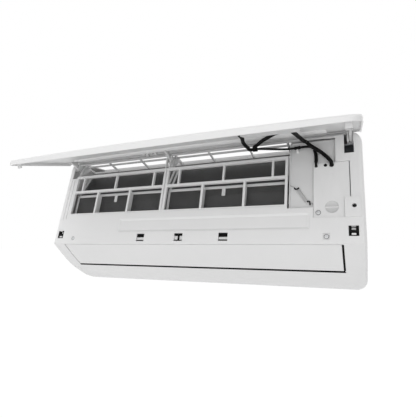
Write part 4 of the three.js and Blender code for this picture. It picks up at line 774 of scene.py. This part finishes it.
screwSet = {
    "ringStep": 0.35,      # spacing of the rings in a head
    "shank": 1.9,
    "crossHalf": 0.8,      # half width of the cross
    "crossReach": 2.5,
    "crossDepth": 2.4,
    "dome": 0.6,           # rise of the head's middle over its edge
    "shadowRing": 0.8,         # width of the grey ring of painted shadow round a head
    "places": {            # x, s, top of the head, length, head radius
        "frame_screw_left": (-298, 1, 0.4, 14, 3.6),
        "frame_screw_right": (295, 1, 0.4, 14, 3.6),
        "cover_screw": (281, 46.8, -0.2, 16, 3.8),
    },
}


def makeScrew(node, x, s, top, length, radius):
    def cross(dx, ds):
        inside = min(abs(dx), abs(ds)) < screwSet["crossHalf"] and math.hypot(dx, ds) < screwSet["crossReach"]
        return screwSet["crossDepth"] if inside else 0

    steps = round(radius / screwSet["ringStep"])
    edge = top - screwSet["dome"]
    profile = [(0, top)]
    profile += [
        (radius * i / steps, top - screwSet["dome"] * (i / steps) ** 2) for i in range(1, steps + 1)
    ]
    shank = screwSet["shank"] + 0.1
    profile += [(radius, edge - 1.0), (shank, edge - 1.05), (shank, top - length), (0, top - length - 1.2)]
    name = "".join(word.capitalize() for word in node.split("_"))
    screw = turnedPart("headed" + name, x, s, profile, dent=cross)
    # a flat grey ring round the head, painted shadow where a counterbore would be
    inner, outer = radius + 0.1, radius + screwSet["shadowRing"]
    ring = [(inner, edge - 1), (inner, edge - 0.1), (outer, edge - 0.1), (outer, edge - 1), (inner, edge - 1)]
    finishPart(turnedPart("shadowRing" + name, x, s, ring), "shadowRingGrey", "inner_plastic", "casing")
    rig.replaces(screw, node)
    finishPart(screw, "platedHeadedSteel", "shaft_steel", "casing")


for node, place in screwSet["places"].items():
    makeScrew(node, *place)
print("screws made")

# fittings on the two covers

coverSet = {
    "gripPlace": (305, 57.5),
    "gripRadius": 11.9,
    "gripDeep": 4.2,           # how far the dished grip sinks
    "gripFace": -2.5,
    "sparePlace": (294.6, 142.9),   # a blind bush between the two lead holes
    "tubeFrom": (243.6, 95.4),      # the pale tube that holds the room sensor
    "tubeTo": (259.2, 70.6),
    "tubeHalf": 3.1,
    "clipPlace": (241.8, 183.2),
    "runSleeve": (0.72, 0.91),      # shares of the run lead's length
    "runSleeveRadius": 3.3,
    "runTie": (0.47, 0.54),
    "runTieRadius": 3.4,
}


def makeGrip():
    x, s = coverSet["gripPlace"]
    radius, face, deep = coverSet["gripRadius"], coverSet["gripFace"], coverSet["gripDeep"]
    rings = 14
    profile = [(0, face - deep)]
    for i in range(1, rings + 1):
        share = i / rings
        profile.append((radius * share, face - deep * (1 - share ** 2) ** 0.75))
    profile += [(radius, face - deep - 0.6), (0, face - deep - 0.7)]
    dish = turnedPart("gripDish", x, s, profile, sides=64)
    finishPart(dish, "greyMouldedPolypropylene", "white_shell", "casing")
    reach = radius - 0.4
    bar = softBox("gripBar", (x - reach, s - 1.2, face - deep - 0.4), (x + reach, s + 1.2, face - 0.1),
                  0.5, onSeat)
    finishPart(bar, "whiteMouldedAbs", "white_shell", "casing")


def makeSpareBush():
    x, s = coverSet["sparePlace"]
    profile = [(0, -2.2), (1.6, -2.1), (2.2, -1.7), (2.7, -1.7), (3.1, -1.9), (3.2, -2.35), (0, -2.5)]
    finishPart(turnedPart("blindBush", x, s, profile), "blackRubberAndPaintedShade", "black_plastic", "casing")


# The sensor's tube: a flat-backed strip with round ends that lies slantwise on the cover.
def makeSensorTube():
    start, end = Vector((*coverSet["tubeFrom"], 0)), Vector((*coverSet["tubeTo"], 0))
    ahead = (end - start).normalized()
    aside = Vector((-ahead.y, ahead.x, 0))

    def place(a, b, c):
        spot = start + ahead * a + aside * b
        return onSeat(spot.x, spot.y, c)

    half = coverSet["tubeHalf"]
    tube = softBox("sensorTube", (0, -half, -6), ((end - start).length, half, -2.9), 1.3, place)
    # the pale tube is drawn in this mid grey: painted shade
    finishPart(tube, "shadedMouldedAbs", "inner_plastic", "casing")


# The wire holders at the two ends of the sensor's tube, bent from coated wire.
def makeSensorHooks():
    bends = {
        "sensor_hook_upper": [
            (236.6, 100.6, -5), (236.9, 99.2, -4.2), (238.6, 97.6, -3.9),
            (241.4, 97.3, -3.8), (243.6, 98.6, -3.9), (244.8, 100.4, -4.2),
        ],
        "sensor_hook_lower": [
            (260.4, 69.9, -4.2), (262.6, 71.2, -3.9), (264.9, 70.4, -3.7),
            (265.8, 67.8, -3.8), (265.9, 64.8, -4), (265.8, 63.4, -4.3),
        ],
    }
    stubs = {
        "sensorWireUpper": [(228.2, 107, -5), (230.4, 104.4, -4.8), (233.2, 103.4, -4.7), (236.4, 101, -4.6)],
        "sensorWireLower": [(266.6, 66.6, -4.6), (268.8, 67.2, -4.7), (270.6, 65.8, -4.8), (271.4, 64.2, -5)],
    }
    for node, bend in bends.items():
        path = curvePoints([onSeat(*p) for p in bend], 28)[0]
        hook = tubeAlong(node.replace("_h", "H").replace("_u", "U").replace("_l", "L"), path, 1.35 * mm, 12)
        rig.replaces(hook, node)
        finishPart(hook, "blackMouldedPolyester", "lead_jacket", "casing")
    for name, bend in stubs.items():
        path = curvePoints([onSeat(*p) for p in bend], 20)[0]
        # the wire stubs take the same mid grey of painted shade
        finishPart(tubeAlong(name, path, 0.8 * mm, 10), "shadedMouldedAbs", "inner_plastic", "casing")


# A second sleeve on the last bend of the run lead, and the tie beside the clip.
def makeRunFittings():
    path = curvePoints(runRoute(), 90)[0]
    for name in ("runSleeve", "runTie"):
        first, last = [round(len(path) * share) for share in coverSet[name]]
        piece = tubeAlong(name, path[first:last], coverSet[name + "Radius"] * mm)
        finishPart(piece, "blackExtrudedVinyl", "lead_jacket", "casing")


# A saddle clip that holds the run lead to the cover.
def makeLeadClip():
    x, s = coverSet["clipPlace"]
    base = softBox("leadClipBase", (x - 3, s - 7, -6), (x + 3, s + 0.6, -3.4), 0.6, onSeat)
    ear = softBox("leadClipEar", (x - 2, s - 5.4, -3.6), (x + 1.8, s - 1, 1.6), 0.7, onSeat)
    finishPart(base, "whiteMouldedAbs", "inner_plastic", "casing")
    finishPart(ear, "whiteMouldedAbs", "inner_plastic", "casing")


makeGrip()
makeSpareBush()
makeSensorTube()
makeSensorHooks()
makeRunFittings()
makeLeadClip()
print("cover fittings made")

# black strips at the outlet's ends and lip: painted shade for the shadow gap, a black line round the shut flap

gapShadeSet = {
    "half": 322.2,              # from the middle to the outlet's ends
    "rightEnd": (320.7, 323.6, -0.4, 4.4),      # x and depth of the strip at the right end
    "leftEnd": (-322.2, -321.3, 2.2, 4.4),      # the left one lies deeper
    "line": [(0.03, 0.1), (0.306, 1), (0.677, 1.3), (0.96, 0.16)],   # share of the flap's chord, bulge
    "lip": (-122.5, -113),      # y, z of the outlet's lower lip
    "within": (-104, -125.5),   # the underside's next corner
    "clear": 1.8,               # from the lip to the strip on the underside
    "wall": 2.75,               # the shell under it
    "foot": (-0.3, 3.2),        # the strip on the lip, along the flap
    "footDeep": (0, 3.2),       # and inwards
}


# One straight strip of painted shade in a plane that starts at a and runs towards b.
def gapShadeStrip(name, a, b, low, high):
    start, end = Vector((0, *a)), Vector((0, *b))
    along = (end - start).normalized()
    inward = Vector((0, -along.z, along.y))

    def place(x, run, deep):
        return (Vector((x, 0, 0)) + start + along * run + inward * deep) * mm

    finishPart(softBox(name, low, high, 0.2, place), "blackRubberAndPaintedShade", "bearing_rubber", "casing")


# The strip of painted shade at one end of the outlet follows the flap's bulged face.
def endGapShade(name, x0, x1, near, far):
    start, end = Vector((0, *faceSet["chin"])), Vector((0, *gapShadeSet["lip"]))
    along = (end - start).normalized()
    inward = Vector((0, -along.z, along.y))
    verts, faces = [], []
    for share, bulge in gapShadeSet["line"]:
        face = start + (end - start) * share - inward * bulge
        for x, deep in ((x0, near), (x1, near), (x1, far), (x0, far)):
            verts.append((Vector((x, 0, 0)) + face + inward * deep) * mm)
    for base in range(0, len(verts) - 4, 4):
        for k in range(4):
            a, b = base + k, base + (k + 1) % 4
            faces.append([a, b, b + 4, a + 4])
    faces += [[3, 2, 1, 0], [len(verts) - 4 + k for k in range(4)]]
    finishPart(makeObject(name, verts, faces), "blackRubberAndPaintedShade", "bearing_rubber", "casing")


def makeGapShade():
    lip, within, chin = gapShadeSet["lip"], gapShadeSet["within"], faceSet["chin"]
    half, wall = gapShadeSet["half"], gapShadeSet["wall"]
    under = math.dist(lip, within)
    chord = math.dist(chin, lip)
    gapShadeStrip("outletGapShadeUnder", lip, within, (4 - half, gapShadeSet["clear"], wall),
                (half - 4, under - 1, wall + 0.9))
    (low, high), (near, far) = gapShadeSet["foot"], gapShadeSet["footDeep"]
    gapShadeStrip("outletGapShadeFoot", chin, lip, (-half, chord + low, near), (half + 1.4, chord + high, far))
    endGapShade("outletGapShadeLeft", *gapShadeSet["leftEnd"])
    endGapShade("outletGapShadeRight", *gapShadeSet["rightEnd"])


makeGapShade()
print("outlet gap shade made")

# black plates behind the three windows: painted shade for the dark hollow behind them

windowSet = {
    # x, then each plate as left, right, low and high in the window
    "left": (-101, [(-9.6, 9.6, 2.6, 10.2), (-9.6, 9.6, -6.3, -4.6)]),
    "middle": (-5, [(-9.6, 9.6, 6.2, 10.2), (-1.6, 2.4, -6.3, 6.3), (-9.6, 9.6, -6.3, -5.6)]),
    "right": (97, [(-9.6, 9.6, 2.2, 10.2), (-9.6, 9.6, -6.3, -3.6)]),
    "deep": (-2.7, -1.7),
}


def makeWindowShadowPlates():
    back, front = windowSet["deep"]
    for name in ("left", "middle", "right"):
        x, plates = windowSet[name]
        for i, (left, right, low, high) in enumerate(plates):
            # each plate is painted shade, black where the hollow behind the window shows dark
            plate = softBox("windowShadowPlate" + name.capitalize() + str(i + 1), (x + left, low, back),
                          (x + right, high, front), 0.2, onSeat)
            finishPart(plate, "blackRubberAndPaintedShade", "bearing_rubber", "casing")


makeWindowShadowPlates()
print("window pads made")

# the catches that the panel's hooks snap into

catchSet = {
    "places": (-340.5, 340.5),
    "rise": 11,
    "tabHalf": 3.7,
    "floor": -7.4,          # bottom of the catch's two pockets
    "face": -0.6,
}


def makeCatchTabs():
    rise, half, floor = catchSet["rise"], catchSet["tabHalf"], catchSet["floor"]
    for side, x in zip(("Left", "Right"), catchSet["places"]):
        # the hook reaches into the upper pocket, so its tab lies on the floor there
        upper = softBox("catchTongue" + side, (x - half, rise + 2, floor),
                        (x + half, rise + 7.3, floor + 1.6), 0.4, onSeat)
        lower = softBox("catchRelease" + side, (x - half, rise - 7.4, floor),
                        (x + half, rise - 3.9, -0.8), 0.4, onSeat)
        cap = softBox("catchLip" + side, (x - half, rise + 7.6, floor + 3),
                      (x + half, rise + 9.2, catchSet["face"] + 0.4), 0.2, onSeat)
        finishPart(cap, "greyMouldedPolypropylene", "inner_plastic", "casing")
        finishPart(upper, "whiteMouldedAbs", "inner_plastic", "casing")
        finishPart(lower, "whiteMouldedAbs", "inner_plastic", "casing")


makeCatchTabs()
print("catch tabs made")

# ribs and lugs behind the panel's skin

panelSet = {
    "railPlaces": (139, 156, 172),   # s of the long ribs
    "railReach": 300,                # from the middle
    "railTall": 3.4,
    "railThick": 1.6,
    "lugPlaces": (-118, -108, -96, -86),
}


def skinAt(x):
    return faceSet["panelSkin"] + faceSet["panelCrown"] * (1 - (x / faceSet["panelHalf"]) ** 2)


def makePanelRails():
    tall, thick, reach = panelSet["railTall"], panelSet["railThick"], panelSet["railReach"]
    stations = 24
    verts, faces = [], []
    for s in panelSet["railPlaces"]:
        base = len(verts)
        for i in range(stations + 1):
            x = reach * (2 * i / stations - 1)
            skin = skinAt(x)
            root, tip = skin + 0.3, skin - tall
            for ds, n in ((0, root), (thick, root), (thick - 0.3, tip), (0.3, tip)):
                verts.append(onPanel(x, s + ds, n))
        for i in range(stations):
            for k in range(4):
                a, b = base + 4 * i + k, base + 4 * i + (k + 1) % 4
                faces.append([a, b, b + 4, a + 4])
        faces.append([base + k for k in (3, 2, 1, 0)])
        faces.append([base + 4 * stations + k for k in range(4)])
    rails = makeObject("panelRails", verts, faces)
    soften(rails, 0.3)
    finishPart(rails, "whiteMouldedAbs", "white_shell", "panel")


def makePanelLugs():
    for i, x in enumerate(panelSet["lugPlaces"]):
        skin = skinAt(x)
        tall = 9 if i % 2 else 6.5
        lug = softBox("panelLug" + str(i + 1), (x - 2, 176, skin - tall),
                      (x + 2, 184, skin + 0.2), 0.6, onPanel)
        finishPart(lug, "whiteMouldedAbs", "white_shell", "panel")


makePanelRails()
makePanelLugs()
print("panel ribs made")

# the coil: fins on copper tubes

coilSet = {
    "left": -318,
    "right": 215,
    "thick": 24,
    "pitch": 2.2,          # real fins are about 1.4 mm apart, and this is as close as shows
    "fin": 0.45,
    "tube": 3.5,
    "bendHalf": 10,        # half the width of a return bend
    "behind": 22.2,        # from the front face to the coil
    "lowStart": 10.5,
    "lowLength": 91.5,
    "upperLength": 68,
    "upperStep": 6,        # from the filter's bend along its upper part
    "rearStart": (-42.5, 106),
    "rearRun": (0.35, -0.937),
    "rearLength": 54,
}


# Each slab's start, direction and length in metres, and how many return bends it has.
def coilSlabs():
    bend = onSeat(0, netSet["bend"], -netSet["depth"])
    along = (Vector((0, *netSet["top"])) * mm - bend).normalized()
    inward = Vector((0, along.z, -along.y))
    upper = bend + inward * (coilSet["behind"] - netSet["depth"]) * mm + along * coilSet["upperStep"] * mm
    lower = onSeat(0, coilSet["lowStart"], -coilSet["behind"])
    rear = Vector((0, *coilSet["rearStart"])) * mm
    return {
        "lower": (lower, faceUp, coilSet["lowLength"] * mm, 3),
        "upper": (upper, along, coilSet["upperLength"] * mm, 2),
        "rear": (rear, Vector((0, *coilSet["rearRun"])).normalized(), coilSet["rearLength"] * mm, 2),
    }


def makeCoil(place, start, along, length, bends):
    inward = Vector((0, along.z, -along.y))
    thick = coilSet["thick"] * mm

    def laid(x, a, b):
        return Vector((x * mm, 0, 0)) + start + along * a + inward * b

    verts, faces = [], []
    count = round((coilSet["right"] - coilSet["left"]) / coilSet["pitch"])
    for i in range(count + 1):
        x = coilSet["left"] + (coilSet["right"] - coilSet["left"] - coilSet["fin"]) * i / count
        boxPart(verts, faces, (x, 0, 0), (x + coilSet["fin"], length, thick), laid)
    fins = makeObject("coilFins" + place.capitalize(), verts, faces)
    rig.replaces(fins, "coil_" + place)
    finishPart(fins, "stampedFinAluminium", "coil_aluminium", "casing")
    half = coilSet["bendHalf"] * mm
    for i in range(bends):
        middle = length * (i + 0.5) / bends
        reach = [
            (coilSet["right"] - 1, -half), (coilSet["left"] - 3, -half), (coilSet["left"] - 8, -half * 0.93),
            (coilSet["left"] - 14, -half * 0.4), (coilSet["left"] - 14, half * 0.4),
            (coilSet["left"] - 8, half * 0.93), (coilSet["left"] - 3, half), (coilSet["right"] - 1, half),
        ]
        path = curvePoints([laid(x, middle + a, thick / 2) for x, a in reach], 90)[0]
        tube = tubeAlong("coilTube" + place.capitalize() + str(i + 1), path, coilSet["tube"] * mm, 12)
        finishPart(tube, "drawnCopper", "pipe_copper", "casing")


for place, (start, along, length, bends) in coilSlabs().items():
    makeCoil(place, start, along, length, bends)
print("coil made")

# light, floor and background

stageSet = {
    "floor": -0.62,       # height of the floor below the unit
    "floorHalf": 30,
    "floorGlow": 1.03,    # how bright the floor looks straight to the camera
    "floorShare": 0.97,   # and how much of that look is glow, the rest being paint with the shadow
    "ambient": 0.585,
    "backdrop": 1.0,
    "lamps": [
        # name, place, aims at, size, watts
        ("softTop", (-0.7, -1.1, 1.6), (0, -0.1, 0), 1.4, 9),
        ("softFront", (0.9, -2.0, 0.0), (0, -0.1, 0), 2.2, 9),
        ("softBack", (0.4, 1.6, 1.2), (0, 0, 0), 2.0, 9),
        ("softLow", (-0.4, -1.4, -0.5), (0, -0.1, -0.1), 1.6, 5),
    ],
}


# 1 for camera, mirror and glass rays, 0 for the light that falls on things.
def seenDirectly(tree):
    path = addNode(tree, "ShaderNodeLightPath")
    first = addNode(tree, "ShaderNodeMath", {
        0: path.outputs["Is Camera Ray"], 1: path.outputs["Is Glossy Ray"],
    }, operation="MAXIMUM")
    return addNode(tree, "ShaderNodeMath", {
        0: first.outputs["Value"], 1: path.outputs["Is Transmission Ray"],
    }, operation="MAXIMUM").outputs["Value"]


def makeWorld():
    world = bpy.data.worlds.new("studio")
    bpy.context.scene.world = world
    world.use_nodes = True
    tree = world.node_tree
    tree.nodes.clear()
    lighting = addNode(tree, "ShaderNodeBackground", {
        "Color": linear("#FFFFFF"), "Strength": stageSet["ambient"],
    })
    seen = addNode(tree, "ShaderNodeBackground", {
        "Color": linear("#FFFFFF"), "Strength": stageSet["backdrop"],
    })
    both = addNode(tree, "ShaderNodeMixShader", {
        0: seenDirectly(tree), 1: lighting.outputs[0], 2: seen.outputs[0],
    })
    addNode(tree, "ShaderNodeOutputWorld", {"Surface": both.outputs[0]})


def makeFloor():
    material = bpy.data.materials.new("paleFloorPaint")
    material.use_nodes = True
    tree = material.node_tree
    tree.nodes.clear()
    paint = addNode(tree, "ShaderNodeBsdfDiffuse", {"Color": linear("#F6F6F6")})
    glow = addNode(tree, "ShaderNodeEmission", {
        "Color": linear("#FFFFFF"), "Strength": stageSet["floorGlow"],
    })
    share = addNode(tree, "ShaderNodeMath", {
        0: seenDirectly(tree), 1: stageSet["floorShare"],
    }, operation="MULTIPLY")
    both = addNode(tree, "ShaderNodeMixShader", {
        0: share.outputs[0], 1: paint.outputs[0], 2: glow.outputs[0],
    })
    addNode(tree, "ShaderNodeOutputMaterial", {"Surface": both.outputs[0]})
    half, z = stageSet["floorHalf"], stageSet["floor"]
    corners = [(-half, -half, z), (half, -half, z), (half, half, z), (-half, half, z)]
    floor = makeObject("floor", corners, [[0, 1, 2, 3]])
    floor.data.materials.append(material)
    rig.stage(floor)


def makeLamps():
    for name, place, aim, size, watts in stageSet["lamps"]:
        lamp = bpy.data.lights.new(name, "AREA")
        lamp.size = size
        lamp.energy = watts
        holder = bpy.data.objects.new(name, lamp)
        holder.location = place
        holder.rotation_euler = (Vector(aim) - Vector(place)).to_track_quat("-Z", "Y").to_euler()
        bpy.context.scene.collection.objects.link(holder)


makeWorld()
makeFloor()
makeLamps()
bpy.context.scene.view_settings.view_transform = "Standard"
print("stage made")

bpy.context.view_layer.update()
with open("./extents.json", "w") as out:
    json.dump({"cad": [list(c) for c in cadBounds], "visual": [list(c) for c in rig.bounds()]}, out)
